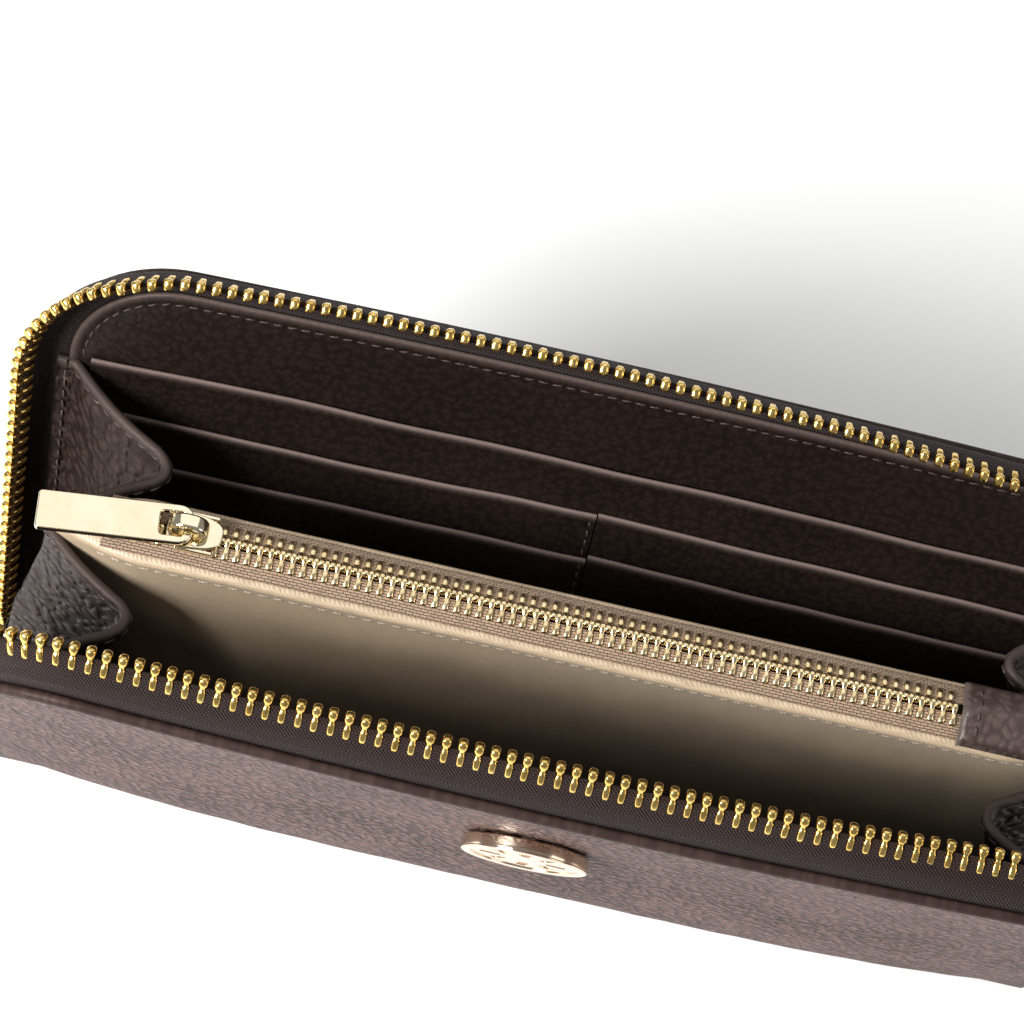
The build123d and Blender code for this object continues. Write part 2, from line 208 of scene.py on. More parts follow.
def loft(sections):
    """Closed mesh through rings of equal length, capped with polygons."""
    s = np.asarray(sections, float)
    rows, cols = s.shape[:2]
    faces = [tuple(f) for f in grid_faces(rows, cols, wrap_cols=True)]
    faces.append(tuple(range(cols))[::-1])
    faces.append(tuple(range((rows - 1) * cols, rows * cols)))
    return s.reshape(-1, 3), faces


def stamp(verts, faces, origins, axes):
    """Copies a template to many frames. axes is (K, 3, 3), rows being the local x, y and z axes."""
    k, n = len(origins), len(verts)
    out = np.einsum("ni,kij->knj", verts, axes) + origins[:, None, :]
    allf = []
    for i in range(k):
        allf += [tuple(j + i * n for j in f) for f in faces]
    return out.reshape(-1, 3), allf


def power(c, e):
    """c raised to e with its sign kept, which rounds a ring towards a rectangle."""
    return math.copysign(abs(c) ** e, c)


def unit(a):
    a = np.asarray(a, float)
    return a / np.maximum(np.linalg.norm(a, axis=-1, keepdims=True), 1e-12)


def frames(along, normal):
    x = unit(along)
    z = unit(normal - (normal * x).sum(-1, keepdims=True) * x)
    y = np.cross(z, x)
    return np.stack([x, y, z], 1)


def capsule(length, radius, flat=0.75):
    """One stitch: a short thread that dips at both ends."""
    rings = []
    for t in (-1, -0.86, -0.5, 0, 0.5, 0.86, 1):
        r = radius * (1 - abs(t) ** 3.2) ** 0.5 + 0.02
        ring = []
        for k in range(6):
            a = k * math.pi / 3
            ring.append((t * length / 2, r * math.cos(a), r * flat * math.sin(a) - 0.5 * radius * t * t))
        rings.append(ring)
    v, f = loft(rings)
    return v * MM, f


def stitch_line(build, points, normals, mat, pitch=2.6, length=1.75, radius=0.24, seed=1, lift=0.03,
    slant=0.1):
    """Stitches along a line of points in metres."""
    points, normals = np.asarray(points, float), np.asarray(normals, float)
    step = np.linalg.norm(np.diff(points, axis=0), axis=1)
    dist = np.concatenate([[0], np.cumsum(step)])
    count = int(dist[-1] / (pitch * MM))
    if count < 1:
        return
    at = (np.arange(count) + 0.5) * dist[-1] / count
    pos = np.stack([np.interp(at, dist, points[:, k]) for k in range(3)], 1)
    nrm = unit(np.stack([np.interp(at, dist, normals[:, k]) for k in range(3)], 1))
    ahead = np.stack([np.interp(at + 0.3 * MM, dist, points[:, k]) for k in range(3)], 1)
    behind = np.stack([np.interp(at - 0.3 * MM, dist, points[:, k]) for k in range(3)], 1)
    along = unit(ahead - behind)
    r = rng(seed)
    tilt = (slant + r.normal(0, 0.05, count))[:, None]
    along = unit(along + tilt * np.cross(nrm, along))
    v, f = capsule(length, radius)
    sv, sf = stamp(v, f, pos + nrm * lift * MM, frames(along, nrm))
    build.add(sv, sf, mat)


def waves(a, b, seed, scale):
    """Smooth random undulation between about -1 and 1."""
    r = rng(seed)
    total = np.zeros(np.broadcast(a, b).shape)
    for _ in range(7):
        ang = r.uniform(0, 2 * math.pi)
        k = 2 * math.pi / (scale * r.uniform(0.6, 1.6))
        total = total + np.sin(k * (math.cos(ang) * a + math.sin(ang) * b) + r.uniform(0, 6.28))
    return total / 3.5


def rounded_ring(half_x, top, radius, low_rows, columns, arc):
    """Perimeter points of a board with two round upper corners, and their inward unit vectors."""
    sx, sv = half_x - radius, top - radius
    pts, inn = [], []
    for q in low_rows:
        pts.append((-half_x, q)); inn.append((1, 0))
    for a in np.linspace(0, math.pi / 2, arc + 1)[1:]:
        pts.append((-sx - radius * math.cos(a), sv + radius * math.sin(a)))
        inn.append((math.cos(a), -math.sin(a)))
    for x in columns[1:-1]:
        pts.append((x, top)); inn.append((0, -1))
    for a in np.linspace(math.pi / 2, 0, arc + 1)[:-1]:
        pts.append((sx + radius * math.cos(a), sv + radius * math.sin(a)))
        inn.append((-math.cos(a), -math.sin(a)))
    for q in low_rows[::-1]:
        pts.append((half_x, q)); inn.append((-1, 0))
    return np.array(pts), np.array(inn)


def board(build, side, half_x, top, radius, low_rows, nx, arc, profile, surface, mapper=place, edge=None,
    mat=0):
    """A sheet with two round corners: profile rings round its edge, then a grid inside."""
    sx, sv = half_x - radius, top - radius
    columns = np.linspace(-sx, sx, nx)
    low_rows = np.append(np.asarray(low_rows, float), sv)
    pts, inn = rounded_ring(half_x, top, radius, low_rows, columns, arc)
    d = np.array([p[0] for p in profile])
    h = np.array([p[1] for p in profile])
    inner = np.linspace(d[-1], radius, 9)[1:]
    dd = np.concatenate([d, inner])
    xy = pts[None] + inn[None] * dd[:, None, None]
    x, q = xy[..., 0], xy[..., 1]
    hh = np.empty(x.shape)
    n = len(d)
    hh[:n] = h[:, None]
    hh = np.where(np.arange(len(dd))[:, None] >= n, surface(x, q, dd[:, None] + 0 * x), hh)
    ramp = np.clip((dd - d[-1] + 1.2) / 1.2, 0, 1)[:, None] * (np.arange(len(dd)) < n)[:, None]
    on_face = (np.arange(len(dd)) > int(np.argmin(d)))[:, None]
    hh = np.where(on_face & (np.arange(len(dd))[:, None] < n),
        hh * (1 - ramp) + surface(x, q, dd[:, None] + 0 * x) * ramp, hh)
    e = np.zeros(x.shape)
    if edge is not None:
        e[:n] = np.array(edge)[:, None]
    build.add(mapper(side, x, q, hh), grid_faces(len(dd), len(pts)), mat, np.stack([x, q], -1), e)
    gx, gq = np.meshgrid(columns, low_rows, indexing="xy")
    gh = surface(gx, gq, np.full(gx.shape, radius))
    build.add(mapper(side, gx, gq, gh), grid_faces(len(low_rows), nx), mat, np.stack([gx, gq], -1))


# ------------------------------------------------------------ materials
def node(nt, kind, inputs=None, **attrs):
    n = nt.nodes.new(kind)
    for k, v in attrs.items():
        setattr(n, k, v)
    for k, v in (inputs or {}).items():
        if isinstance(v, bpy.types.NodeSocket):
            nt.links.new(v, n.inputs[k])
        else:
            n.inputs[k].default_value = v
    return n


def math_node(nt, op, a, b=None, c=None):
    inputs = {0: a}
    if b is not None:
        inputs[1] = b
    if c is not None:
        inputs[2] = c
    return node(nt, "ShaderNodeMath", inputs, operation=op).outputs[0]


def ramp(nt, fac, stops):
    r = node(nt, "ShaderNodeValToRGB", {"Fac": fac})
    while len(r.color_ramp.elements) < len(stops):
        r.color_ramp.elements.new(0.5)
    for el, (pos, col) in zip(r.color_ramp.elements, stops):
        el.position = pos
        el.color = (*col, 1) if len(col) == 3 else col
    return r.outputs["Color"]


def mix(nt, fac, a, b):
    n = node(nt, "ShaderNodeMix", data_type="RGBA")
    for socket, value in ((n.inputs[0], fac), (n.inputs[6], a), (n.inputs[7], b)):
        if isinstance(value, bpy.types.NodeSocket):
            nt.links.new(value, socket)
        else:
            socket.default_value = (*value, 1) if isinstance(value, tuple) else value
    return n.outputs[2]


def material(name, build, **sockets):
    m = bpy.data.materials.new(name)
    m.use_nodes = True
    nt = m.node_tree
    nt.nodes.clear()
    out = nt.nodes.new("ShaderNodeOutputMaterial")
    b = nt.nodes.new("ShaderNodeBsdfPrincipled")
    nt.links.new(b.outputs[0], out.inputs[0])
    for k, v in sockets.items():
        b.inputs[k.replace("_", " ")].default_value = v
    build(nt, b)
    return m


def uv_of(nt):
    return node(nt, "ShaderNodeUVMap", uv_map="UVMap").outputs[0]


def noise(nt, vec, scale, detail=3.0, rough=0.5, dims="3D"):
    return node(nt, "ShaderNodeTexNoise", {"Vector": vec, "Scale": scale, "Detail": detail,
        "Roughness": rough},
                noise_dimensions=dims).outputs["Fac"]


def scaled(nt, vec, by):
    return node(nt, "ShaderNodeVectorMath", {0: vec, 1: by}, operation="MULTIPLY").outputs[0]


def shifted(nt, vec, by):
    return node(nt, "ShaderNodeVectorMath", {0: vec, 1: by}, operation="ADD").outputs[0]


def stripes(nt, value, period):
    """Smooth stripes between 0 and 1 along a value in mm."""
    run = math_node(nt, "MULTIPLY", value, 2 * math.pi / period)
    return math_node(nt, "MULTIPLY_ADD", math_node(nt, "SINE", run), 0.5, 0.5)


def spread(nt, value, low, high, to):
    return node(nt, "ShaderNodeMapRange", {"Value": value, "From Min": low, "From Max": high,
                                           "To Min": to[0], "To Max": to[1]}).outputs[0]


def relief(nt, b, height, strength, distance):
    bump = node(nt, "ShaderNodeBump", {"Height": height, "Strength": strength, "Distance": distance})
    nt.links.new(bump.outputs[0], b.inputs["Normal"])


def leather(name, dark, light, edge_colour, cell=1.7, bump=0.5, depth=0.00025, rough=(0.34, 0.5), **sockets):
    """Pebbled leather: grain cells, fine pores, mottled colour, and a smoothed edge in edge_colour where the
    edge attribute is 1: dark edge paint on the exterior, a painted highlight with some wear on the rolled edges
    of the interior and gusset leather, a paler rim on the tabs.
    """

    def build(nt, b):
        uv = uv_of(nt)
        warp = node(nt, "ShaderNodeTexNoise", {"Vector": uv, "Scale": 0.35 / cell, "Detail": 2.0},
            noise_dimensions="2D")
        off = scaled(nt, warp.outputs["Color"], (cell * 1.6,) * 3)
        vec = shifted(nt, uv, off)
        vor = node(nt, "ShaderNodeTexVoronoi", {"Vector": vec, "Scale": 1.0 / cell, "Randomness": 0.9,
            "Smoothness": 0.35},
                   voronoi_dimensions="2D", feature="SMOOTH_F1").outputs["Distance"]
        cellh = node(nt, "ShaderNodeMapRange", {"Value": vor, "From Min": 0.12, "From Max": 0.62,
            "To Min": 1.0, "To Max": 0.0},
                     interpolation_type="SMOOTHSTEP").outputs[0]
        fine = noise(nt, uv, 2.6 / cell, 4.0, 0.6, "2D")
        big = noise(nt, uv, 0.05, 3.0, 0.5, "2D")
        edge = node(nt, "ShaderNodeAttribute", attribute_name="edge").outputs["Fac"]
        height = math_node(nt, "ADD", cellh, math_node(nt, "MULTIPLY", fine, 0.35))
        smooth = math_node(nt, "SUBTRACT", 1.0, math_node(nt, "MULTIPLY", edge, 0.98))
        height = math_node(nt, "MULTIPLY", height, smooth)
        # colour follows the grain height, darker in the creases between pebbles: partly the grain's own tone,
        # partly painted shade; the big noise mottles it at random
        tone = math_node(nt, "ADD", math_node(nt, "MULTIPLY", cellh, 0.55),
            math_node(nt, "MULTIPLY", big, 0.6))
        col = ramp(nt, tone, [(0.18, dark), (0.85, light)])
        # edge colour mix: edge paint on the exterior, painted highlight on the interior and gusset leather's
        # rolled edges
        edge_paint_wear_highlight = math_node(nt, "MULTIPLY", edge, math_node(nt, "ADD", 0.78,
            math_node(nt, "MULTIPLY", fine, 0.2)))
        col = mix(nt, edge_paint_wear_highlight, col, edge_colour)
        nt.links.new(col, b.inputs["Base Color"])
        nt.links.new(spread(nt, fine, 0.3, 0.7, rough), b.inputs["Roughness"])
        relief(nt, b, height, bump, depth)

    return material(name, build, **sockets)


def herringbone(name, dark, light, period=0.62, zig=1.5):
    def build(nt, b):
        uv = uv_of(nt)
        sep = node(nt, "ShaderNodeSeparateXYZ", {0: uv})
        s, t = sep.outputs[0], sep.outputs[1]
        tri = math_node(nt, "PINGPONG", t, zig)
        rib = stripes(nt, math_node(nt, "ADD", s, math_node(nt, "MULTIPLY", tri, 1.1)), period)
        yarn = stripes(nt, t, 0.42)
        fuzz = noise(nt, uv, 2.2, 5.0, 0.7, "2D")
        height = math_node(nt, "ADD", math_node(nt, "MULTIPLY", rib, 0.75),
            math_node(nt, "MULTIPLY", yarn, 0.3))
        height = math_node(nt, "ADD", height, math_node(nt, "MULTIPLY", fuzz, 0.5))
        tone = math_node(nt, "MULTIPLY", height, 0.62)
        nt.links.new(ramp(nt, tone, [(0.25, dark), (0.95, light)]), b.inputs["Base Color"])
        relief(nt, b, height, 1.0, 0.0004)
        nt.links.new(math_node(nt, "MULTIPLY_ADD", fuzz, 0.3, 0.5), b.inputs["Roughness"])

    return material(name, build, Sheen_Weight=0.05, Sheen_Roughness=0.5, Specular_IOR_Level=0.2,
        Specular_Tint=(1, 0.8, 0.74, 1))


def satin(name, dark, light, pitch=0.36, **sockets):
    def build(nt, b):
        uv = uv_of(nt)
        sep = node(nt, "ShaderNodeSeparateXYZ", {0: uv})
        diag = math_node(nt, "ADD", math_node(nt, "MULTIPLY", sep.outputs[0], 0.45), sep.outputs[1])
        wob = noise(nt, uv, 0.5, 3.0, 0.6, "2D")
        rib = stripes(nt, math_node(nt, "ADD", diag, math_node(nt, "MULTIPLY", wob, 0.25)), pitch)
        slub = noise(nt, scaled(nt, uv, (0.35, 4.0, 1.0)), 1.0, 3.0, 0.6, "2D")
        fine = noise(nt, uv, 5.0, 4.0, 0.6, "2D")
        tone = math_node(nt, "ADD", math_node(nt, "MULTIPLY", rib, 0.3), math_node(nt, "MULTIPLY", slub, 0.7))
        nt.links.new(ramp(nt, tone, [(0.2, dark), (0.8, light)]), b.inputs["Base Color"])
        height = math_node(nt, "ADD", math_node(nt, "MULTIPLY", rib, 0.7),
            math_node(nt, "MULTIPLY", fine, 0.5))
        relief(nt, b, height, 0.4, 0.0001)
        nt.links.new(math_node(nt, "MULTIPLY_ADD", slub, 0.25, 0.33), b.inputs["Roughness"])

    return material(name, build, **sockets)


def coarse_weave(name, dark, light):
    def build(nt, b):
        uv = uv_of(nt)
        wob = node(nt, "ShaderNodeTexNoise", {"Vector": uv, "Scale": 0.8, "Detail": 2.0},
            noise_dimensions="2D").outputs["Color"]
        off = scaled(nt, wob, (0.25, 0.12, 0))
        vec = shifted(nt, uv, off)
        brick = node(nt, "ShaderNodeTexBrick", {"Vector": vec, "Scale": 1.0, "Mortar Size": 0.07,
            "Mortar Smooth": 0.9,
                                               "Brick Width": 1.15, "Row Height": 0.42,
                                               "Color1": (1, 1, 1, 1),
                                               "Color2": (0.7, 0.7, 0.7, 1), "Mortar": (0, 0, 0, 1)},
                                               offset=0.5)
        yarn = noise(nt, uv, 4.0, 4.0, 0.7, "2D")
        h = math_node(nt, "MULTIPLY", brick.outputs["Color"],
            math_node(nt, "ADD", 0.7, math_node(nt, "MULTIPLY", yarn, 0.5)))
        nt.links.new(ramp(nt, h, [(0.1, dark), (0.85, light)]), b.inputs["Base Color"])
        relief(nt, b, h, 0.85, 0.00025)
        nt.links.new(math_node(nt, "MULTIPLY_ADD", yarn, 0.3, 0.45), b.inputs["Roughness"])

    return material(name, build, Sheen_Weight=0.1)


def metal(name, colour, deep, rough=(0.1, 0.24), bump=0.06):
    """Polished plated metal with faint wear and handling marks."""

    def build(nt, b):
        pos = node(nt, "ShaderNodeTexCoord").outputs["Object"]
        cloud = noise(nt, pos, 260.0, 4.0, 0.6)
        streak = noise(nt, scaled(nt, pos, (300.0, 2600.0, 1400.0)), 1.0, 3.0, 0.6)
        nt.links.new(ramp(nt, cloud, [(0.3, deep), (0.65, colour)]), b.inputs["Base Color"])
        nt.links.new(spread(nt, streak, 0.3, 0.75, rough), b.inputs["Roughness"])
        relief(nt, b, math_node(nt, "ADD", cloud, math_node(nt, "MULTIPLY", streak, 0.3)), bump, 0.0002)

    return material(name, build, Metallic=1.0)


def thread(name, dark, light):
    def build(nt, b):
        pos = node(nt, "ShaderNodeTexCoord").outputs["Object"]
        ply = node(nt, "ShaderNodeTexWave", {"Vector": pos, "Scale": 900.0, "Distortion": 1.5,
            "Detail": 2.0}, bands_direction="DIAGONAL")
        nt.links.new(ramp(nt, ply.outputs["Fac"], [(0.2, dark), (0.8, light)]), b.inputs["Base Color"])
        relief(nt, b, ply.outputs["Fac"], 0.5, 0.0001)
        nt.links.new(math_node(nt, "MULTIPLY_ADD", ply.outputs["Fac"], 0.2, 0.4), b.inputs["Roughness"])

    return material(name, build)


EXTERIOR = leather("exterior_leather", (0.026, 0.013, 0.0105), (0.175, 0.103, 0.088), (0.022, 0.013, 0.0105),
    cell=1.7,
                   bump=1.0, depth=0.0007, rough=(0.42, 0.56), Specular_IOR_Level=0.18,
                   Specular_Tint=(1, 0.8, 0.74, 1))
# third colour: painted highlight along the gusset's folded top edge
GUSSET_LEATHER = leather("gusset_leather", (0.007, 0.004, 0.0032), (0.024, 0.014, 0.0115),
    (0.05, 0.038, 0.034), cell=2.3,
                         bump=0.8, depth=0.0005, rough=(0.42, 0.57), Specular_IOR_Level=0.24,
                         Specular_Tint=(1, 0.8, 0.72, 1))
# third colour: painted highlight, with some wear, on the rolled edges of the pockets and panel
INTERIOR = leather("interior_leather", (0.0045, 0.0027, 0.0021), (0.012, 0.007, 0.0055),
    (0.17, 0.125, 0.112), cell=1.5,
                   bump=0.3, depth=0.00016, rough=(0.42, 0.58), Specular_IOR_Level=0.3,
                   Specular_Tint=(1, 0.8, 0.72, 1))
TAB = leather("tab_leather", (0.03, 0.018, 0.015), (0.07, 0.045, 0.038), (0.10, 0.08, 0.07), cell=1.5,
    bump=0.35, depth=0.0002,
              rough=(0.34, 0.48))
BOARD = coarse_weave("fibre_board", (0.12, 0.09, 0.06), (0.3, 0.24, 0.18))
TAPE = herringbone("main_tape", (0.004, 0.0022, 0.0022), (0.062, 0.036, 0.032))
SATIN = satin("pocket_satin", (0.36, 0.26, 0.165), (0.60, 0.47, 0.32), Sheen_Weight=0.1, Sheen_Roughness=0.35,
              Specular_IOR_Level=0.6)
LINING = satin("lining_fabric", (0.2, 0.15, 0.1), (0.4, 0.32, 0.23), pitch=0.6)
COIN_TAPE = coarse_weave("coin_tape", (0.055, 0.032, 0.02), (0.36, 0.245, 0.16))
GOLD = metal("tooth_gold", (0.93, 0.66, 0.22), (0.70, 0.45, 0.12), (0.14, 0.28))
PALE_GOLD = metal("coin_tooth_gold", (0.95, 0.80, 0.50), (0.78, 0.60, 0.32), (0.16, 0.3))
BRIGHT = metal("pull_gold", (0.98, 0.88, 0.66), (0.94, 0.80, 0.55), (0.08, 0.16), 0.012)
ROSE = metal("badge_gold", (0.86, 0.70, 0.55), (0.78, 0.60, 0.42), (0.08, 0.15), 0.012)
THREAD = thread("thread_brown", (0.02, 0.012, 0.01), (0.075, 0.05, 0.042))
THREAD_TAN = thread("thread_tan", (0.32, 0.25, 0.17), (0.62, 0.5, 0.37))


# ------------------------------------------------------------ covers
def cover_surface(x, q, d):
    soft = np.clip((d - 2.0) / 3.0, 0, 1)
    base = 1.5 - 0.3 * np.clip(1 - q / 12, 0, 1)
    return base + belly(x, q) * soft + 0.05 * waves(x, q, 5, 9)


COVER_PROFILE = [(3.5, 0.0), (1.5, 0.0), (0.7, 0.03), (0.25, 0.18), (0.03, 0.5), (0.0, 0.85), (0.07, 1.25),
    (0.32, 1.6),
                 (0.75, 1.82), (1.25, 1.83), (1.65, 1.62), (1.85, 1.4), (2.05, 1.44), (2.4, 1.62),
                 (3.0, 1.66)]
COVER_EDGE = [0.2, 0.4, 0.8, 1, 1, 1, 1, 1, 1, 1, 0.95, 0.85, 0.6, 0.3, 0]


def cover_mapper(side, x, q, h):
    thin = np.clip(1 - q / 12, 0, 1)
    return skin(side, x, q, np.where(h > 1.2, 1.2 + (h - 1.2) * (1 - thin), h))


LOW_ROWS = np.concatenate([np.linspace(-WRAP_LEN - WRAP_MID, -WRAP_LEN, 6), np.linspace(-WRAP_LEN, 0, 7)[1:],
    np.linspace(0, STRAIGHT_V, 44)[1:-1]])
for side, half in ((1, "back"), (-1, "front")):
    b = Build()
    board(b, side, HALF, COVER, CORNER, LOW_ROWS, 80, 18, COVER_PROFILE, cover_surface, cover_mapper,
        COVER_EDGE)
    o = b.make(half + "_cover", [EXTERIOR], merge=2e-6)
    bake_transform(o)
    if half == "back":
        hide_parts("back_cover_leather", "spine_leather")
    else:
        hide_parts("front_cover_leather")

    b = Build()
    board(b, side, HALF - 7, COVER - 7, CORNER - 7, np.linspace(1.5, STRAIGHT_V, 20)[:-1], 30, 8,
          [(0.6, -0.02), (0.05, -0.04), (0.0, -0.3), (0.05, -0.54), (0.6, -0.58)], lambda x, q,
          d: -0.58 + 0 * x)
    gx, gq = np.meshgrid(np.linspace(-STRAIGHT_X, STRAIGHT_X, 20), np.linspace(1.5, COVER - 7.5, 20))
    b.add(place(side, gx, gq, -0.02), grid_faces(20, 20), 0, np.stack([gx, gq], -1))
    o = b.make(half + "_board", [BOARD], merge=2e-6)
    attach(o, half + "_half")
    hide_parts(half + "_stiffener_board")

    # interior panel with its stitch line
    b = Build()
    panel = lambda x, q, d: -1.5 - 0.06 * waves(x, q, 11, 26)
    # the last list marks the panel's rolled edge, which the interior leather shows as a painted highlight
    board(b, side, HALF - PANEL_INSET, COVER - PANEL_INSET, CORNER - PANEL_INSET,
        np.linspace(1.5, STRAIGHT_V, 30)[:-1], 60, 16,
          [(2.2, -0.62), (0.5, -0.62), (0.08, -0.75), (0.0, -1.0), (0.06, -1.28), (0.25, -1.48), (0.6, -1.6),
          (1.1, -1.6),
           (1.7, -1.5), (2.3, -1.38), (2.9, -1.5)], panel, place,
           [0, 0.1, 0.3, 0.5, 0.6, 0.4, 0.2, 0.1, 0, 0, 0])
    d = 2.3
    xs = np.linspace(-(HALF - CORNER), HALF - CORNER, 120)
    arc = np.linspace(0, math.pi / 2, 14)
    rr = CORNER - PANEL_INSET - d
    path = [(-STRAIGHT_X - rr * math.cos(a), STRAIGHT_V + rr * math.sin(a)) for a in arc]
    path += [(x, STRAIGHT_V + rr) for x in xs]
    path += [(STRAIGHT_X + rr * math.sin(a), STRAIGHT_V + rr * math.cos(a)) for a in arc]
    path = np.array(path)
    pts = place(side, path[:, 0], path[:, 1], -1.44)
    nrm = unit(place(side, path[:, 0], path[:, 1], -2.4) - pts)
    stitch_line(b, pts, nrm, 1, pitch=2.3, length=1.7, radius=0.17, seed=3)
    o = b.make(half + "_panel", [INTERIOR, THREAD], merge=2e-6)
    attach(o, half + "_half")
    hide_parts(half + "_interior_panel")

    # card pockets
    def pocket(name, x0, x1, top, w_base, seed, seam=None, gape=0.45):
        nx = int((x1 - x0) / 1.6)
        xs = np.linspace(x0, x1, nx)
        rows = [(top - 3.0, 0.10), (top - 0.8, 0.08), (top - 0.12, 0.16), (top, 0.42), (top - 0.08, 0.68),
            (top - 0.35, 0.84),
                (top - 0.9, 0.9), (top - 1.7, 0.86), (top - 2.6, 0.78)]
        # edge attribute round the rolled pocket mouth: painted highlight with some wear
        rim_wear_and_highlight = [0, 0.05, 0.4, 1, 1, 0.55, 0.12, 0, 0]
        for v in np.linspace(top - 4.0, 2.0, 34):
            rows.append((v, 0.76))
            rim_wear_and_highlight.append(0)
        v = np.array([r[0] for r in rows])[:, None] + 0 * xs[None]
        t = np.array([r[1] for r in rows])[:, None]
        x = xs[None] + 0 * v
        mid, span_x = (x0 + x1) / 2, (x1 - x0) / 2
        open_ = gape * (1 - ((x - mid) / span_x) ** 2) * np.clip(v / top, 0, 1) ** 5
        wob = 0.10 * waves(x, v, seed, 22) * np.clip((v - 2) / 20, 0, 1)
        v = v + 0.25 * waves(x, 0 * x, seed + 1, 50) * np.clip((v - top + 6) / 6, 0, 1)
        w = w_base - t - open_ - wob
        b = Build()
        b.add(place(side, x, v, w), grid_faces(len(rows), nx), 0, np.stack([x, v], -1),
            np.array(rim_wear_and_highlight)[:, None] + 0 * x)
        if seam is not None:
            vv = np.linspace(top - 0.8, 6, 60)
            pts = place(side, seam + 0 * vv, vv, w_base - 0.86)
            stitch_line(b, pts, unit(place(side, seam + 0 * vv, vv, w_base - 2) - pts), 1, pitch=2.4,
                length=1.5, radius=0.2, seed=seed)
        o = b.make(half + "_" + name, [INTERIOR, THREAD])
        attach(o, half + "_half")
        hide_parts(half + "_" + name)
        return o

    pocket("pocket_full_width", -POCKET_HALF, POCKET_HALF, COVER - 21, -1.5, 20)
    pocket("pocket_middle_left", -POCKET_HALF, -0.12, COVER - 32, -2.3, 21, seam=-0.95)
    pocket("pocket_middle_right", 0.12, POCKET_HALF, COVER - 31.4, -2.3, 22)
    pocket("pocket_lower_left", -POCKET_HALF, -0.12, COVER - 42, -3.1, 23, seam=-0.95)
    pocket("pocket_lower_right", 0.12, POCKET_HALF, COVER - 41.4, -3.1, 24)


# ------------------------------------------------------------ main zip
def tip_at(v):
    share = np.clip((STRAIGHT_V - v) / (STRAIGHT_V - ROW_END), 0, 1)
    return TIP_OUT + (TIP_OUT_END - TIP_OUT) * share, -(TIP_IN + (TIP_IN_END - TIP_IN) * share)


QUARTER = (CORNER + TIP_OUT - HEAD) * math.pi / 2
ROW_LENGTH = STRAIGHT_X + QUARTER + STRAIGHT_V - ROW_END


def edge_at(s):
    """Cover edge point, outward unit vector and height for the row distance s."""
    s = np.asarray(s, float)
    sg, run = np.where(s >= 0, 1.0, -1.0), np.abs(s)
    turn = np.clip((run - STRAIGHT_X) / (CORNER + TIP_OUT - HEAD), 0, math.pi / 2)
    drop = np.clip(run - STRAIGHT_X - QUARTER, 0, None)
    cx, cv = np.minimum(run, STRAIGHT_X), STRAIGHT_V - drop
    nx, nv = np.sin(turn), np.cos(turn)
    return sg, cx, cv, nx, nv


def row_point(side, s, n, w):
    """Point n beyond the cover's edge and w from the hinge plane, at the row distance s."""
    sg, cx, cv, nx, nv = edge_at(s)
    return place(side, sg * (cx + (CORNER + n) * nx), cv + (CORNER + n) * nv, w)


def flex(side, x):
    """How far, in mm at the tips, the soft tape stands out (+) or leans in (-) along the row."""
    if side > 0:
        return np.interp(x, [-94, -80, -72, -46, -5, 19, 34, 50, 63, 80, 94],
            [-0.8, -1.2, 0.1, 0.9, 0.9, 0.2, 0.0, -1.2, -2.3, -2.6, -1.5])
    return np.interp(x, [-94, 40, 54, 69, 84, 94], [0, 0, -1.0, -2.6, -2.4, -1.2])


def zip_dir(side, s):
    sg, cx, cv, nx, nv = edge_at(s)
    out, w = tip_at(cv)
    length = np.hypot(out - 0.2, w + 0.45)
    tilt = flex(side, sg * (cx + CORNER * nx)) / length
    dn, dw, c, s = out - 0.2, w + 0.45, np.cos(tilt), np.sin(tilt)
    out, w = 0.2 + dn * c - dw * s, -0.45 + dw * c + dn * s
    return out, w, (out - 0.2) / length, (w + 0.45) / length, length


def tooth_template():
    """Rounded head, narrow neck and legs clamped on the cord, as one lofted body with its tip at y = 0."""
    rings = []
    for y, hx, hz, p in ((0.0, 0.2, 0.35, 2.2), (0.05, 0.48, 0.7, 2.8), (0.22, 0.7, 0.95, 3.2),
        (0.6, 0.78, 1.06, 3.4), (1.2, 0.77, 1.04, 3.4),
                         (1.5, 0.64, 0.94, 3.2), (1.78, 0.50, 0.84, 3), (2.05, 0.49, 0.84, 3.4),
                         (2.3, 0.55, 0.96, 4.5), (2.7, 0.58, 1.0, 5),
                         (3.8, 0.57, 0.99, 5), (4.22, 0.53, 0.9, 4), (4.4, 0.36, 0.62, 2.6)):
        ring = []
        for k in range(14):
            a = 2 * math.pi * k / 14
            c, s = math.cos(a), math.sin(a)
            ring.append((hx * power(c, 2 / p), y, hz * power(s, 2 / p)))
        rings.append(ring)
    v, f = loft(rings)
    # a shallow cup on both faces of the head
    top = np.abs(v[:, 2]) > 0.75
    cup = np.exp(-((v[:, 1] - 0.8) / 0.3) ** 2 - (v[:, 0] / 0.35) ** 2)
    v[:, 2] -= np.sign(v[:, 2]) * top * cup * 0.16
    return v * MM, f


def tooth_frames(side, s, sink, jitter=None):
    """Tip points and axes of teeth at the row distances s; y runs from the tip to the tape."""
    out, w, dn, dw, _ = zip_dir(side, s)
    tip = row_point(side, s, out - sink * dn, w - sink * dw)
    base = row_point(side, s, out - 4 * dn, w - 4 * dw)
    ahead = row_point(side, s + 0.2, out, w) - row_point(side, s - 0.2, out, w)
    y = unit(base - tip)
    if jitter is not None:
        y = unit(y + jitter.normal(0, 0.012, y.shape))
    x = unit(ahead - (ahead * y).sum(-1, keepdims=True) * y)
    return tip, np.stack([x, y, np.cross(x, y)], 1)


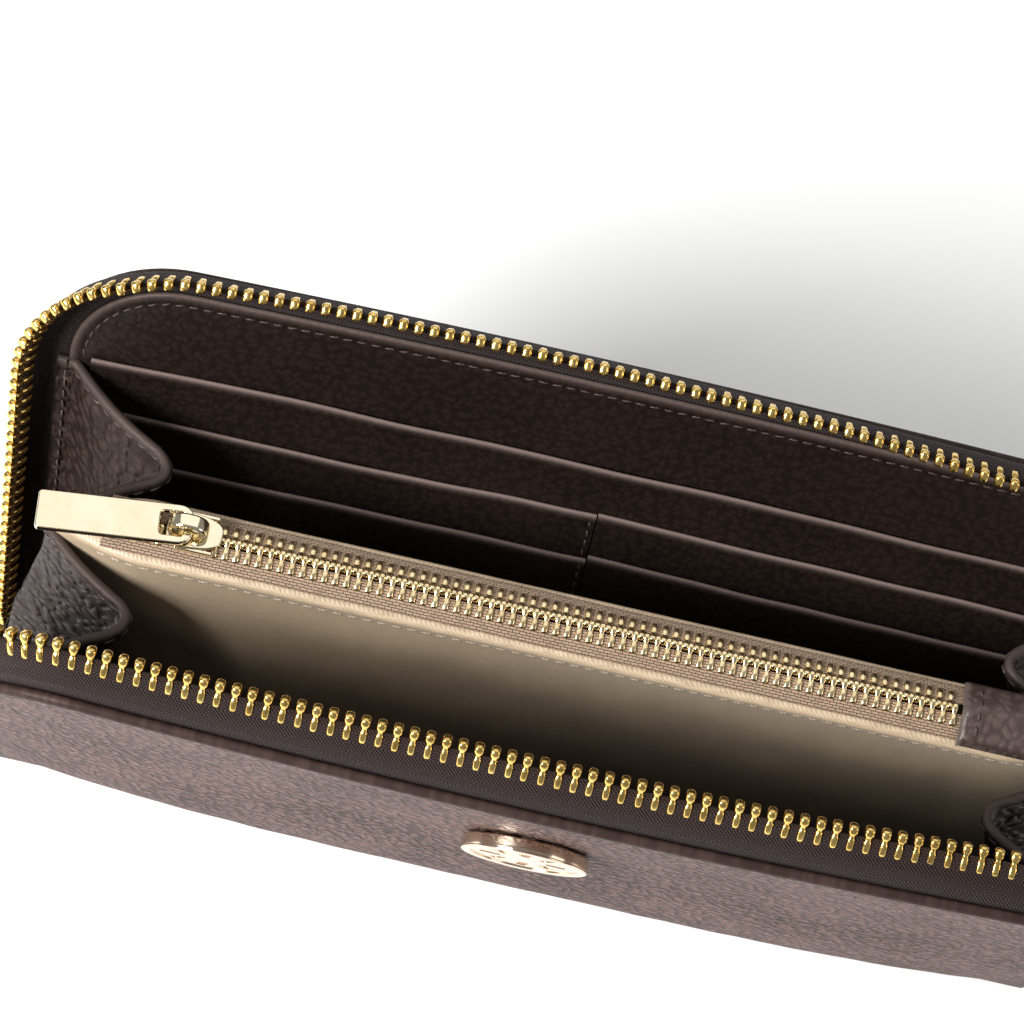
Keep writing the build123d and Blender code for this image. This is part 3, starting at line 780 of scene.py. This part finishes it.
for side, half, offset in ((1, "back", 0.0), (-1, "front", PITCH / 2)):
    # tape
    s = np.linspace(-ROW_LENGTH, ROW_LENGTH, 330)
    dn, dw, length = zip_dir(side, s)[2:]
    sec = []
    for n, w in ((-5.0, -0.05), (-2.5, -0.05), (-0.8, -0.06)):
        sec.append((n + 0 * s, w + 0 * s, n + 0 * s))
    ks = np.linspace(0.0, 1.0, 10)
    reach = length - 1.9
    for sign, order in ((1, ks), (-1, ks[::-1])):
        for k in order:
            thick = sign * (0.3 + 0.28 * np.clip((k - 0.62) / 0.15, 0, 1) * np.clip((1.02 - k) / 0.06, 0, 1))
            puff = 0.75 * math.sin(math.pi * min(1, k * 1.25)) ** 0.8 if k < 0.8 else 0.0
            n = 0.2 + dn * reach * k + (-dw) * (puff + thick)
            w = -0.45 + dw * reach * k + dn * (puff + thick)
            sec.append((n, w, 0.2 + reach * k if sign > 0 else 20 - reach * k))
    for n, w in ((-1.2, -0.55), (-2.5, -0.55), (-5.0, -0.55)):
        sec.append((n + 0 * s, w + 0 * s, 20 - n + 0 * s))
    P = np.stack([row_point(side, s, n, w) for n, w, t in sec])
    U = np.stack([np.stack([s, t + 0 * s], -1) for n, w, t in sec])
    b = Build()
    b.add(P, grid_faces(len(sec), len(s), wrap_rows=True), 0, U)
    o = b.make(half + "_tape", [TAPE])
    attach(o, half + "_half")
    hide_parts(half + "_zip_tape")

    # teeth
    count = int((ROW_LENGTH - 4.5) / PITCH)
    st = np.arange(-count, count + 1) * PITCH + offset
    tip, axes = tooth_frames(side, st, 0.0, rng(40 + side))
    tv, tf = tooth_template()
    sv, sf = stamp(tv, tf, tip, axes)
    b = Build()
    b.add(sv, sf)
    o = b.make(half + "_teeth", [GOLD])
    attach(o, half + "_half")
    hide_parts(half + "_zip_teeth", half + "_zip_end_stops")
    # end stops: small rounded blocks beyond the last tooth
    last = (count + 1) * PITCH - 0.1
    b = Build()
    for sgn in (-1, 1):
        se = np.array([offset + sgn * last])
        tip, axes = tooth_frames(side, se, 0.7)
        sv, sf = stamp(tv * np.array([1.35, 0.85, 0.95]), tf, tip, axes)
        b.add(sv, sf)
    o = b.make(half + "_end_stops", [GOLD])
    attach(o, half + "_half")


# ------------------------------------------------------------ side gussets
GT, GB = 80.0, 8.0
for xs_, sx in (("left", -1), ("right", 1)):
    for half, side in (("back", 1), ("front", -1)):
        def corner_path(t):
            """Plan points in mm of flange, seam, apex and mid fold at the height share t, 1 at the top."""
            z = GB + (GT - GB) * t
            v = (z - CREASE_Z + 2.2 * SIN) / COS
            fl = place(1, 92.6, v, -1.75)[:2] / MM
            se = place(1, 89.4, v, -2.15)[:2] / MM
            ap = np.array([68.5, 13.8]) * t + np.array([84.5, 4.5]) * (1 - t)
            low_share = min(1.0, max(0.0, (80 - z) / 48))
            mf = np.array([86.7 + 7.2 * low_share * low_share * (3 - 2 * low_share), 0.35])
            return [np.array(fl), np.array(se), ap, mf], z

        nt_ = 34
        ts = np.linspace(0, 1, nt_)
        centre = []
        for t in ts:
            (fl, se, ap, mf), z = corner_path(t)
            rad = 0.16 + 0.04 * t
            a = se + (ap - se) * (1 - rad)
            c = ap + (mf - ap) * rad
            pts = []
            for k in np.linspace(0, 1, 6)[:-1]:
                pts.append(fl + (se - fl) * k)
            for k in np.linspace(0, 1, 16)[:-1]:
                p = se + (a - se) * k
                d = unit(a - se)
                nrm = np.array([-d[1], d[0]])
                pts.append(p + nrm * 0.9 * math.sin(math.pi * k) * t)
            for k in np.linspace(0, 1, 10)[:-1]:
                pts.append((1 - k) ** 2 * a + 2 * k * (1 - k) * ap + k * k * c)
            for k in np.linspace(0, 1, 16):
                d = unit(mf - c)
                nrm = np.array([-d[1], d[0]])
                pts.append(c + (mf - c) * k + nrm * 0.7 * math.sin(math.pi * k) * t)
            centre.append(pts)
        C = np.array(centre)
        nu = C.shape[1]
        tang = np.gradient(C, axis=1)
        tang = unit(tang)
        N2 = np.stack([-tang[..., 1], tang[..., 0]], -1)
        seg = np.linalg.norm(np.diff(C, axis=1), axis=-1)
        U = np.concatenate([np.zeros((nt_, 1)), np.cumsum(seg, axis=1)], 1)
        zs = GB + (GT - GB) * ts
        wrinkle = 0.16 * waves(U, zs[:, None] + 0 * U, 60 + sx + 3 * side, 11)
        rows, edge, V2 = [], [], []

        def ring(i, dz, off, e):
            rows.append(np.concatenate([C[i] + N2[i] * (off + wrinkle[i][:, None] * min(1.0,
                -dz / 6 if i == nt_ - 1 else 1)),
                                        np.full((nu, 1), zs[i] + dz)], 1))
            edge.append(np.full(nu, e))
            V2.append(np.stack([U[i], np.full(nu, zs[i] + dz)], -1))

        for i in range(nt_ - 2):
            ring(i, 0, 0.4, 0)
        T = nt_ - 1
        # the third value marks the folded top edge, shown as a painted highlight by the gusset leather
        for dz, off, e in ((-3.4, 0.42, 0), (-2.9, 0.5, 0.1), (-2.3, 0.72, 0.3), (-1.2, 0.84, 0.4),
            (-0.45, 0.74, 0.8), (-0.08, 0.4, 1), (0, 0.0, 1),
                           (-0.08, -0.4, 1), (-0.45, -0.74, 0.8), (-1.2, -0.84, 0.4), (-2.3, -0.72, 0.3),
                           (-2.9, -0.5, 0.1), (-3.4, -0.42, 0)):
            ring(T, dz, off, e)
        for i in range(nt_ - 3, -1, -1):
            ring(i, 0, -0.4, 0)
        R = np.array(rows)
        R[..., 0] *= sx
        R[..., 1] *= side
        b = Build()
        shell = [tuple(f) for f in grid_faces(len(rows), nu, wrap_rows=True)]
        shell += [tuple(i * nu for i in range(len(rows))), tuple(i * nu + nu - 1 for i in range(len(rows)))]
        b.add(R * MM, shell, 0, np.array(V2), np.array(edge))
        # stitch line along the top, on the face towards the middle of the wallet
        for off, sd in ((0.86, 7), (-0.86, 8)):
            line = np.concatenate([C[T] + N2[T] * off, np.full((nu, 1), GT - 1.75)], 1)
            nn = np.concatenate([N2[T] * np.sign(off), np.zeros((nu, 1))], 1)
            line[:, 0] *= sx
            line[:, 1] *= side
            nn[:, 0] *= sx
            nn[:, 1] *= side
            stitch_line(b, line[5:] * MM, nn[5:], 1, pitch=2.7, length=1.9, radius=0.24, seed=sd)
        # seam that fixes the flange to the cover's panel
        vv = np.linspace(10, 80, 60)
        pts = place(side, sx * 91.0 + 0 * vv, vv, -2.42)
        stitch_line(b, pts, unit(place(side, sx * 91.0 + 0 * vv, vv, -3.4) - pts), 1, pitch=2.5, length=1.7,
            radius=0.24, seed=9)
        o = b.make("gusset_" + xs_ + "_" + half + "_fold", [GUSSET_LEATHER, THREAD])
        seam_pt = place(side, 90, 60, -2.3)
        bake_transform(o)
        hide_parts("gusset_" + xs_ + "_" + half)


# ------------------------------------------------------------ coin pocket
# height of the meshed coin teeth, and the outer edge of the coin tapes
RIDGE = 86.97
EDGE_Y, EDGE_Z = 4.9, 84.9
SATIN_HALF = 85.2
TAB_LEFT, TAB_RIGHT = 62.8, 79.9
for side, half in ((1, "back"), (-1, "front")):
    xs = np.linspace(-SATIN_HALF, SATIN_HALF, 140)
    prof = [(2.6, 85.1), (3.9, 84.75), (4.7, 84.62), (5.2, 84.5), (5.55, 84.2), (5.68, 83.8), (5.55, 83.3),
        (5.25, 82.6), (4.95, 81.6), (4.7, 80.4), (4.5, 78.8)]
    for z in np.linspace(76, 2.0, 36):
        k = (z - 2.0) / 76.8
        prof.append((1.25 + 3.1 * k ** 2.2 + 0.35 * math.sin(math.pi * k), z))
    y = np.array([p[0] for p in prof])[:, None] + 0 * xs[None]
    z = np.array([p[1] for p in prof])[:, None] + 0 * xs[None]
    x = xs[None] + 0 * y
    end = np.clip((np.abs(x) - 70) / 15.2, 0, 1) ** 1.6
    y = y * (1 - end) + (1.0 + 0.4 * (z / 85)) * end
    z = z - end * 1.6 * np.clip((z - 60) / 25, 0, 1)
    y = y + (0.32 * waves(x, z, 71 + side, 30) + 0.10 * waves(x, z, 75 + side, 9)) * np.clip((83 - z) / 12,
        0.05, 1) * (1 - 0.6 * end)
    if side < 0:
        lean_out = np.exp(-((x + 40) / 34.0) ** 2) * np.sin(np.pi * np.clip((84 - z) / 84, 0, 1)) ** 1.2
        y = y + 5.0 * lean_out * np.clip((84.5 - np.abs(x)) / 12, 0, 1)
    y = np.maximum(y, 0.75)
    z = z + 0.12 * waves(x, 0 * x, 72 + side, 40) * np.clip((z - 70) / 14, 0, 1)
    P = np.stack([x, side * y, z], -1) * MM
    b = Build()
    b.add(P, grid_faces(len(prof), len(xs)), 0, np.stack([x, z], -1))
    row = 8
    line = P[row]
    nrm = np.tile([0, side, 0.1], (len(line), 1))
    inner = (np.abs(xs) < 79)
    stitch_line(b, line[inner], unit(nrm[inner]), 1, pitch=2.4, length=1.8, radius=0.17, seed=81, lift=0.05,
        slant=0.02)
    o = b.make("coin_pocket_" + half + "_satin", [SATIN, THREAD_TAN], recalc=False)
    mod = o.modifiers.new("thickness", "SOLIDIFY")
    mod.thickness = 0.35 * MM
    mod.offset = 0
    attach(o, "core")
    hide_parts("coin_pocket_" + half + "_wall")
    if side < 0:
        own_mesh(o)

    # coin zip tape: slopes down from the teeth, its outer edge rolled over the satin
    xs = np.linspace(-77, 78, 150)
    slope = (RIDGE - EDGE_Z) / EDGE_Y
    sec = [(0.95, -0.25), (0.9, 0.0), (1.0, 0.25), (1.6, 0.27), (2.4, 0.26), (3.2, 0.27), (3.8, 0.30),
        (4.3, 0.32), (4.6, 0.24), (4.72, 0.02), (4.6, -0.24), (4.3, -0.28), (3.2, -0.27), (1.8, -0.27)]
    yy = np.array([p[0] for p in sec])[:, None] + 0 * xs[None]
    zz = RIDGE - slope * yy + np.array([p[1] for p in sec])[:, None] + 0 * xs[None]
    lift = 0.10 * waves(xs, 0 * xs, 90 + side, 35)[None] * np.clip(yy / 5, 0, 1)
    X = xs[None] + 0 * yy
    P = np.stack([X, side * (yy + 0.06 * waves(X, yy, 91, 18)), zz + lift], -1) * MM
    b = Build()
    b.add(P, grid_faces(len(sec), len(xs), wrap_rows=True), 0,
        np.stack([X, yy + 10 * (np.arange(len(sec)) > 9)[:, None]], -1))
    o = b.make("coin_tape_" + half, [COIN_TAPE])
    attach(o, "core")
    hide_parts("coin_zip_tape_" + half)

    # coin teeth
    rings = []
    for yv, hx, hz, p in ((-0.62, 0.25, 0.3, 3), (-0.55, 0.44, 0.55, 4), (0.0, 0.48, 0.64, 5),
        (0.55, 0.47, 0.62, 5), (0.9, 0.38, 0.52, 4), (1.15, 0.38, 0.56, 4),
                          (1.35, 0.5, 0.70, 5), (2.7, 0.5, 0.70, 5), (3.0, 0.46, 0.62, 4),
                          (3.08, 0.3, 0.4, 3)):
        ring = []
        for k in range(12):
            a = 2 * math.pi * (k + 0.5) / 12
            c, s = math.cos(a), math.sin(a)
            ring.append((hx * power(c, 2 / p), yv, hz * power(s, 2 / p)))
        rings.append(ring)
    tv, tf = loft(rings)
    tv = tv * MM
    count = int((63.5 + 72.5) / 1.8)
    tx = -72.5 + (0 if side > 0 else 0.9) + 1.8 * np.arange(count)
    tx = tx[np.abs(tx - (-62.6 - 2.9)) > 1.9]
    ang = math.atan2(RIDGE - EDGE_Z, EDGE_Y)
    origins = np.stack([tx, 0 * tx, RIDGE + 0 * tx], 1) * MM
    ax = np.array([[1, 0, 0], [0, side * math.cos(ang), -math.sin(ang)], [0, 0, 0]], float)
    ax[2] = np.cross(ax[0], ax[1])
    axes = np.tile(ax, (len(tx), 1, 1))
    sv, sf = stamp(tv, tf, origins, axes)
    b = Build()
    b.add(sv, sf)
    if side > 0:
        sx0, sx1 = span("coin_zip_end_stop")[0], span("coin_zip_end_stop")[1]
        mid = np.array([(sx0[0] + sx1[0]) / 2, 0, RIDGE]) * MM
        v2 = tv * np.array([1.3, 0.55, 1.3]) + np.array([0, -0.7 * MM, 0])
        sv, sf = stamp(v2, tf, mid[None], np.eye(3)[None])
        b.add(sv, sf)
    o = b.make("coin_teeth_" + half, [PALE_GOLD])
    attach(o, "core")
    if side > 0:
        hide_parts("coin_zip_teeth_back", "coin_zip_end_stop")
    else:
        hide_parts("coin_zip_teeth_front")

# leather tab over the right end of the coin zip
xs = np.concatenate([[62.8, 62.85, 63.0, 63.3], np.linspace(63.8, 79, 28), [79.4, 79.7, 79.85, 79.9]])
ys = np.linspace(-5.6, 5.6, 30)
X, Y = np.meshgrid(xs, ys, indexing="ij")
endd = np.minimum(X - TAB_LEFT, TAB_RIGHT - X)
round_end = 0.75 * np.clip(1 - endd / 0.7, 0, 1) ** 2
round_side = 0.9 * np.clip((np.abs(Y) - 4.7) / 0.9, 0, 1) ** 2
ridge = RIDGE - 0.42 * np.sqrt(Y ** 2 + 1.0) + 0.42
top = ridge + 1.45 - round_end - round_side + 0.06 * waves(X, Y, 99, 6)
low = ridge + 0.2
b = Build()
edge_att = np.clip(1 - endd / 0.8, 0, 1)
b.add(np.stack([X, Y, top], -1) * MM, grid_faces(len(xs), len(ys)), 0, np.stack([X, Y], -1), edge_att)
b.add(np.stack([X, Y, low], -1) * MM, grid_faces(len(xs), len(ys)), 0, np.stack([X, Y], -1), edge_att)
rim = [(i, 0) for i in range(len(xs))] + [(len(xs) - 1, j) for j in range(1, len(ys))] + [(i,
    len(ys) - 1) for i in range(len(xs) - 2, -1, -1)] + [(0, j) for j in range(len(ys) - 2, 0, -1)]
loop_top = np.array([[X[i, j], Y[i, j], top[i, j]] for i, j in rim])
loop_low = np.array([[X[i, j], Y[i, j], low[i, j]] for i, j in rim])
b.add(np.stack([loop_top, loop_low]) * MM, grid_faces(2, len(rim), wrap_cols=True), 0, None,
    np.ones(2 * len(rim)))
yl = np.linspace(-4.6, 4.6, 30)
pts = np.stack([np.full(30, 65.4), yl, RIDGE - 0.42 * np.sqrt(yl ** 2 + 1.0) + 0.42 + 1.5], 1) * MM
stitch_line(b, pts, np.tile([0, 0, 1.0], (30, 1)), 1, pitch=2.3, length=1.7, radius=0.22, seed=31)
o = b.make("coin_end_tab", [TAB, THREAD], merge=2e-6)
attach(o, "core")
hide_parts("coin_zip_end_tab")

# lining strip along the spine
xs, ys = np.linspace(-90, 90, 90), np.linspace(-7.5, 7.5, 12)
X, Y = np.meshgrid(xs, ys, indexing="ij")
b = Build()
b.add(np.stack([X, Y, 1.55 + 0.12 * waves(X, Y, 55, 14)], -1) * MM, grid_faces(90, 12), 0,
    np.stack([X, Y], -1))
o = b.make("spine_lining_cloth", [LINING])
mod = o.modifiers.new("thickness", "SOLIDIFY")
mod.thickness = 0.3 * MM
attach(o, "core")
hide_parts("spine_lining")


# ------------------------------------------------------------ hardware
def outline_rect(x0, x1, y0, y1, radii, n=7):
    """Rounded rectangle; radii for the corners (x1,y1), (x0,y1), (x0,y0), (x1,y0)."""
    pts = []
    for (cx, cy, a0), r in zip(((x1, y1, 0), (x0, y1, 90), (x0, y0, 180), (x1, y0, 270)), radii):
        ox = cx - r if cx == x1 else cx + r
        oy = cy - r if cy == y1 else cy + r
        for k in range(n + 1):
            a = math.radians(a0 + 90 * k / n)
            pts.append((ox + r * math.cos(a), oy + r * math.sin(a)))
    return pts


def circle(radius, n, x=0.0):
    turns = [2 * math.pi * k / n for k in range(n)]
    return [(x + radius * math.cos(t), radius * math.sin(t)) for t in turns]


def plate_mesh(name, loops, z0, z1, bevel, res=3):
    """Flat plate with bevelled edges from outlines in mm; later loops are holes."""
    cu = bpy.data.curves.new(name, "CURVE")
    cu.dimensions = "2D"
    cu.fill_mode = "BOTH"
    cu.bevel_depth = bevel * MM
    cu.bevel_resolution = res
    cu.offset = -bevel * MM
    cu.extrude = ((z1 - z0) / 2 - bevel) * MM
    for loop in loops:
        sp = cu.splines.new("POLY")
        sp.points.add(len(loop) - 1)
        for p, (px, py) in zip(sp.points, loop):
            p.co = (px * MM, py * MM, 0, 1)
        sp.use_cyclic_u = True
    tmp = bpy.data.objects.new(name + "_curve", cu)
    bpy.context.scene.collection.objects.link(tmp)
    bpy.context.view_layer.update()
    me = bpy.data.meshes.new_from_object(tmp.evaluated_get(bpy.context.evaluated_depsgraph_get()))
    bpy.data.objects.remove(tmp)
    me.transform(Matrix.Translation((0, 0, (z0 + z1) / 2 * MM)))
    return me


def arch(length, width, height, thick, base):
    """Band arch along X with rounded section, as verts and faces in mm."""
    rings = []
    n = 26
    for i in range(n + 1):
        a = math.pi * i / n
        ex = 2.6
        c, s = math.cos(a), math.sin(a)
        px = (length / 2 - thick / 2) * power(c, 2 / ex)
        pz = base + (height - thick / 2) * abs(s) ** (2 / ex)
        rings.append((px, pz))
    rings = np.array(rings)
    tang = unit(np.gradient(rings, axis=0))
    nrm = np.stack([-tang[:, 1], tang[:, 0]], 1)
    secs = []
    for i in range(n + 1):
        sec = []
        for k in range(14):
            t = 2 * math.pi * (k + 0.5) / 14
            c, s = math.cos(t), math.sin(t)
            a = width / 2 * power(c, 0.55)
            h = thick / 2 * power(s, 0.6)
            sec.append((rings[i, 0] + nrm[i, 0] * h, a, rings[i, 1] + nrm[i, 1] * h))
        secs.append(sec)
    return loft(secs)


def join_into(name, meshes, mats, matrix):
    bm = bmesh.new()
    for me in meshes:
        bm.from_mesh(me)
    bmesh.ops.recalc_face_normals(bm, faces=bm.faces)
    me = bpy.data.meshes.new(name)
    bm.to_mesh(me)
    bm.free()
    me.transform(matrix)
    for p in me.polygons:
        p.use_smooth = True
        p.material_index = 0
    me.materials.clear()
    for m in mats:
        me.materials.append(m)
    me.set_sharp_from_angle(angle=math.radians(38))
    o = bpy.data.objects.new(name, me)
    bpy.context.scene.collection.objects.link(o)
    return o


def raw_mesh(name, verts, faces, scale=MM):
    me = bpy.data.meshes.new(name)
    me.from_pydata((np.asarray(verts) * scale).tolist(), [], [tuple(int(i) for i in f) for f in faces])
    return me


def slider_outline(length, width):
    """Slider plate: broad where the rows part (-X), narrower where they leave meshed."""
    pts = []
    for k in range(40):
        a = 2 * math.pi * k / 40
        c, s = math.cos(a), math.sin(a)
        px = length / 2 * power(c, 0.7)
        w = width / 2 * (0.86 - 0.14 * px / (length / 2))
        pts.append((px, w * power(s, 0.62)))
    return pts


def slider_parts(length, width, low, high, thick, post):
    ol = slider_outline(length, width)
    top = plate_mesh("top", [ol], high, high + thick, thick * 0.42, 4)
    bottom = plate_mesh("bottom", [ol], low - thick, low, thick * 0.42, 4)
    px = -length / 2 + 1.6
    wedge = plate_mesh("wedge", [[(px - 0.95, -post / 2), (px + 0.9, -post / 4), (px + 0.9, post / 4),
        (px - 0.95, post / 2)]], low - 0.2, high + 0.2, 0.1, 1)
    out = [top, bottom, wedge]
    for sg in (-1, 1):
        y0, y1 = sorted((sg * (width / 2 - 0.75), sg * (width / 2 - 0.15)))
        out.append(plate_mesh("flange", [outline_rect(-length * 0.3, length * 0.38, y0, y1, (0.2,) * 4, 3)],
            high - 0.75, high + 0.25, 0.12, 2))
        out.append(plate_mesh("flange", [outline_rect(-length * 0.3, length * 0.38, y0, y1, (0.2,) * 4, 3)],
            low - 0.25, low + 0.75, 0.12, 2))
    return out


SLIDER_X = -62.6
coin = slider_parts(9.0, 7.2, -1.95, 0.8, 0.6, 1.6)
o = join_into("coin_slider_plates", coin, [BRIGHT], Matrix.Translation(Vector((SLIDER_X, 0, RIDGE)) * MM))
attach(o, "coin_slider")
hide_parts("coin_slider_body")
v, f = arch(6.7, 2.5, 3.6, 0.85, 0)
o = join_into("coin_slider_arch", [raw_mesh("arch", v, f)], [BRIGHT],
    Matrix.Translation(Vector((SLIDER_X - 1.0, 0, RIDGE + 1.3)) * MM))
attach(o, "coin_slider")
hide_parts("coin_slider_bail")

yaw = math.radians(7.0)
pull = plate_mesh("pull", [outline_rect(-24.2, 0.8, -3.4, 3.4, (2.6, 0.7, 0.7, 2.6)),
    outline_rect(-4.7, -0.8, -2.1, 2.1, (0.5, 0.7, 0.7, 0.5), 5)], -0.55, 0.55, 0.26, 4)
pos = Vector(JOINT["coin_puller_hinge"]["pos_m"])
o = join_into("coin_pull", [pull], [BRIGHT], Matrix.Translation(pos) @ Matrix.Rotation(yaw, 4, "Z"))
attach(o, "coin_puller")
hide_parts("coin_puller")

# main slider, parked past the right end of the spine
turn = Matrix(((0, 0, 1, 0), (0, 1, 0, 0), (-1, 0, 0, 0), (0, 0, 0, 1)))
parked = Matrix.Translation(Vector((98.6, 0, 8.2)) * MM) @ turn
main = slider_parts(11.0, 9.6, -1.4, 1.4, 0.9, 2.0)
o = join_into("main_slider_plates", main, [BRIGHT], parked)
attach(o, "core")
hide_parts("main_slider_body")
v, f = arch(6.7 * 1.25, 2.5 * 1.25, 3.6 * 1.25, 1.05, 0)
o = join_into("main_slider_arch", [raw_mesh("arch", v + np.array([0, 0, 2.2]), f)], [BRIGHT], parked)
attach(o, "core")
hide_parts("main_slider_bail")
pull = plate_mesh("pull", [outline_rect(-1.0, 30.0, -4.2, 4.2, (0.9, 3.2, 3.2, 0.9)),
    outline_rect(1.0, 5.875, -2.625, 2.625, (0.8, 0.6, 0.6, 0.8), 5)], -0.65, 0.65, 0.3, 4)
pos = Vector(JOINT["main_puller_hinge"]["pos_m"])
o = join_into("main_pull", [pull], [BRIGHT], Matrix.Translation(pos) @ Matrix.Rotation(math.radians(14.0), 4,
    "Y"))
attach(o, "main_puller")
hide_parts("main_puller")

# leather tabs over the zip's ends
for nm, sx in (("left", -1), ("right", 1)):
    ys, zs = np.linspace(-8, 8, 40), np.linspace(1, 13, 32)
    Y, Z = np.meshgrid(ys, zs, indexing="ij")
    dx = np.minimum(8 - np.abs(Y), np.minimum(Z - 1, 13 - Z))
    cy_, cz_ = np.clip(np.abs(Y) - 6, 0, None), np.clip(np.maximum(3 - Z, Z - 11), 0, None)
    both = (cy_ > 0) & (cz_ > 0)
    scale = np.where(both, np.maximum(np.hypot(cy_, cz_) / 2, 1), 1)
    Yr = np.where(both, np.sign(Y) * (6 + cy_ / scale), Y)
    Zr = np.where(both, np.where(Z < 3, 3 - cz_ / scale, 11 + cz_ / scale), Z)
    bulge = 1.4 * np.clip(dx / 0.7, 0, 1) ** 0.5 + 0.05 * waves(Y, Z, 44, 5)
    groove = 0.22 * np.exp(-((dx - 1.4) / 0.35) ** 2)
    b = Build()
    edge_att = np.clip(1 - dx / 0.8, 0, 1)
    b.add(np.stack([sx * (94.25 + bulge - groove), Yr, Zr], -1) * MM, grid_faces(40, 32), 0,
        np.stack([Y, Z], -1), edge_att)
    b.add(np.stack([sx * (94.2 + 0 * Y), Yr, Zr], -1) * MM, grid_faces(40, 32), 0, np.stack([Y, Z], -1),
        edge_att)
    t = np.linspace(0, 1, 40)
    loop = np.concatenate([np.stack([-6.5 + 13 * t, 2.5 + 0 * t], 1),
        np.stack([6.5 + 0 * t, 2.5 + 9 * t], 1), np.stack([6.5 - 13 * t, 11.5 + 0 * t], 1),
        np.stack([-6.5 + 0 * t, 11.5 - 9 * t], 1)])
    pts = np.stack([np.full(len(loop), sx * 95.55), loop[:, 0], loop[:, 1]], 1) * MM
    stitch_line(b, pts, np.tile([sx, 0, 0.0], (len(loop), 1)), 1, pitch=2.4, length=1.6, radius=0.2, seed=12)
    o = b.make("zip_end_patch_" + nm, [TAB, THREAD])
    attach(o, "core")
    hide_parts("zip_end_tab_" + nm)

# badge on the front cover, with plain radial windows
BV = COVER - 34
c0 = place(-1, 0, BV, cover_surface(np.array(0.0), np.array(BV), np.array(20.0)))
cu_ = place(-1, 0, BV + 6, cover_surface(np.array(0.0), np.array(BV + 6), np.array(20.0)))
cd_ = place(-1, 0, BV - 6, cover_surface(np.array(0.0), np.array(BV - 6), np.array(20.0)))
up = Vector(cu_ - cd_).normalized()
right = Vector((1, 0, 0))
out_n = right.cross(up).normalized()
disc = circle(10.3, 96)
loops = [disc]
for k in range(8):
    a = k * math.pi / 4
    rect = outline_rect(3.6, 7.2, -0.95, 0.95, (0.25,) * 4, 3)
    loops.append([(px * math.cos(a) - py * math.sin(a), px * math.sin(a) + py * math.cos(a)) for px, py in rect])
plate = plate_mesh("badge", loops, 0.5, 2.6, 0.22, 4)
ring = plate_mesh("rim", [disc, circle(8.7, 96)], 2.3, 2.85, 0.18, 3)
posts = [plate_mesh("post", [circle(0.72, 20, px)], -5.0, 0.7, 0.1, 1) for px in (-5, 5)]
m = Matrix((right, up, out_n)).transposed().to_4x4()
m.translation = Vector(c0)
o = join_into("badge", [plate, ring] + posts, [ROSE], m)
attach(o, "front_half")
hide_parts("badge_plate", "badge_posts")


# ------------------------------------------------------------ floor, lights, camera
def floor_build(nt, b):
    pos = node(nt, "ShaderNodeTexCoord").outputs["Object"]
    f = noise(nt, pos, 3.0, 3.0)
    nt.links.new(ramp(nt, f, [(0.3, (0.90, 0.90, 0.895)), (0.7, (0.93, 0.93, 0.925))]),
        b.inputs["Base Color"])


me = bpy.data.meshes.new("floor")
me.from_pydata([(-4, -4, 0), (4, -4, 0), (4, 4, 0), (-4, 4, 0)], [], [(0, 1, 2, 3)])
me.materials.append(material("floor_pale", floor_build, Roughness=0.7))
floor = bpy.data.objects.new("floor", me)
bpy.context.scene.collection.objects.link(floor)
floor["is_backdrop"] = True

world = bpy.data.worlds.new("studio")
bpy.context.scene.world = world
world.use_nodes = True
world.node_tree.nodes["Background"].inputs[0].default_value = (1, 1, 1, 1)
world.node_tree.nodes["Background"].inputs[1].default_value = 0.24


def area(name, loc, target, size, power):
    li = bpy.data.lights.new(name, "AREA")
    li.energy = power
    li.size = size
    ob = bpy.data.objects.new(name, li)
    ob.location = loc
    ob.rotation_mode = "QUATERNION"
    ob.rotation_quaternion = (Vector(target) - Vector(loc)).to_track_quat("-Z", "Y")
    bpy.context.scene.collection.objects.link(ob)


area("key", (-0.55, -0.47, 0.62), (0, 0, 0.05), 0.34, 15.5)
area("top", (-0.1, 0.6, 1.15), (0, 0, 0.05), 1.6, 7)
area("side", (0.9, -0.3, 0.6), (0, 0, 0.05), 0.5, 1.5)

E, PSI, RHO, DIST, FOCAL = math.radians(63.38), math.radians(-0.74), math.radians(13.47), 544.38, 3602.48
TX, TZ = -14.36, 119.81
cdir = Vector((math.sin(PSI) * math.cos(E), -math.cos(PSI) * math.cos(E), math.sin(E)))
rvec = Vector((math.cos(PSI), math.sin(PSI), 0))
uvec = cdir.cross(rvec)
r2 = math.cos(RHO) * rvec + math.sin(RHO) * uvec
u2 = -math.sin(RHO) * rvec + math.cos(RHO) * uvec
camd = bpy.data.cameras.new("camera")
camd.sensor_width = 36
camd.lens = FOCAL * 36 / 1024
camd.clip_start, camd.clip_end = 0.01, 20
cam = bpy.data.objects.new("camera", camd)
mw = Matrix((r2, u2, cdir)).transposed().to_4x4()
mw.translation = (Vector((TX, 0, TZ)) + cdir * DIST) * MM
cam.matrix_world = mw
bpy.context.scene.collection.objects.link(cam)
bpy.context.scene.camera = cam
bpy.context.scene.view_settings.view_transform = "Standard"

low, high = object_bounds()
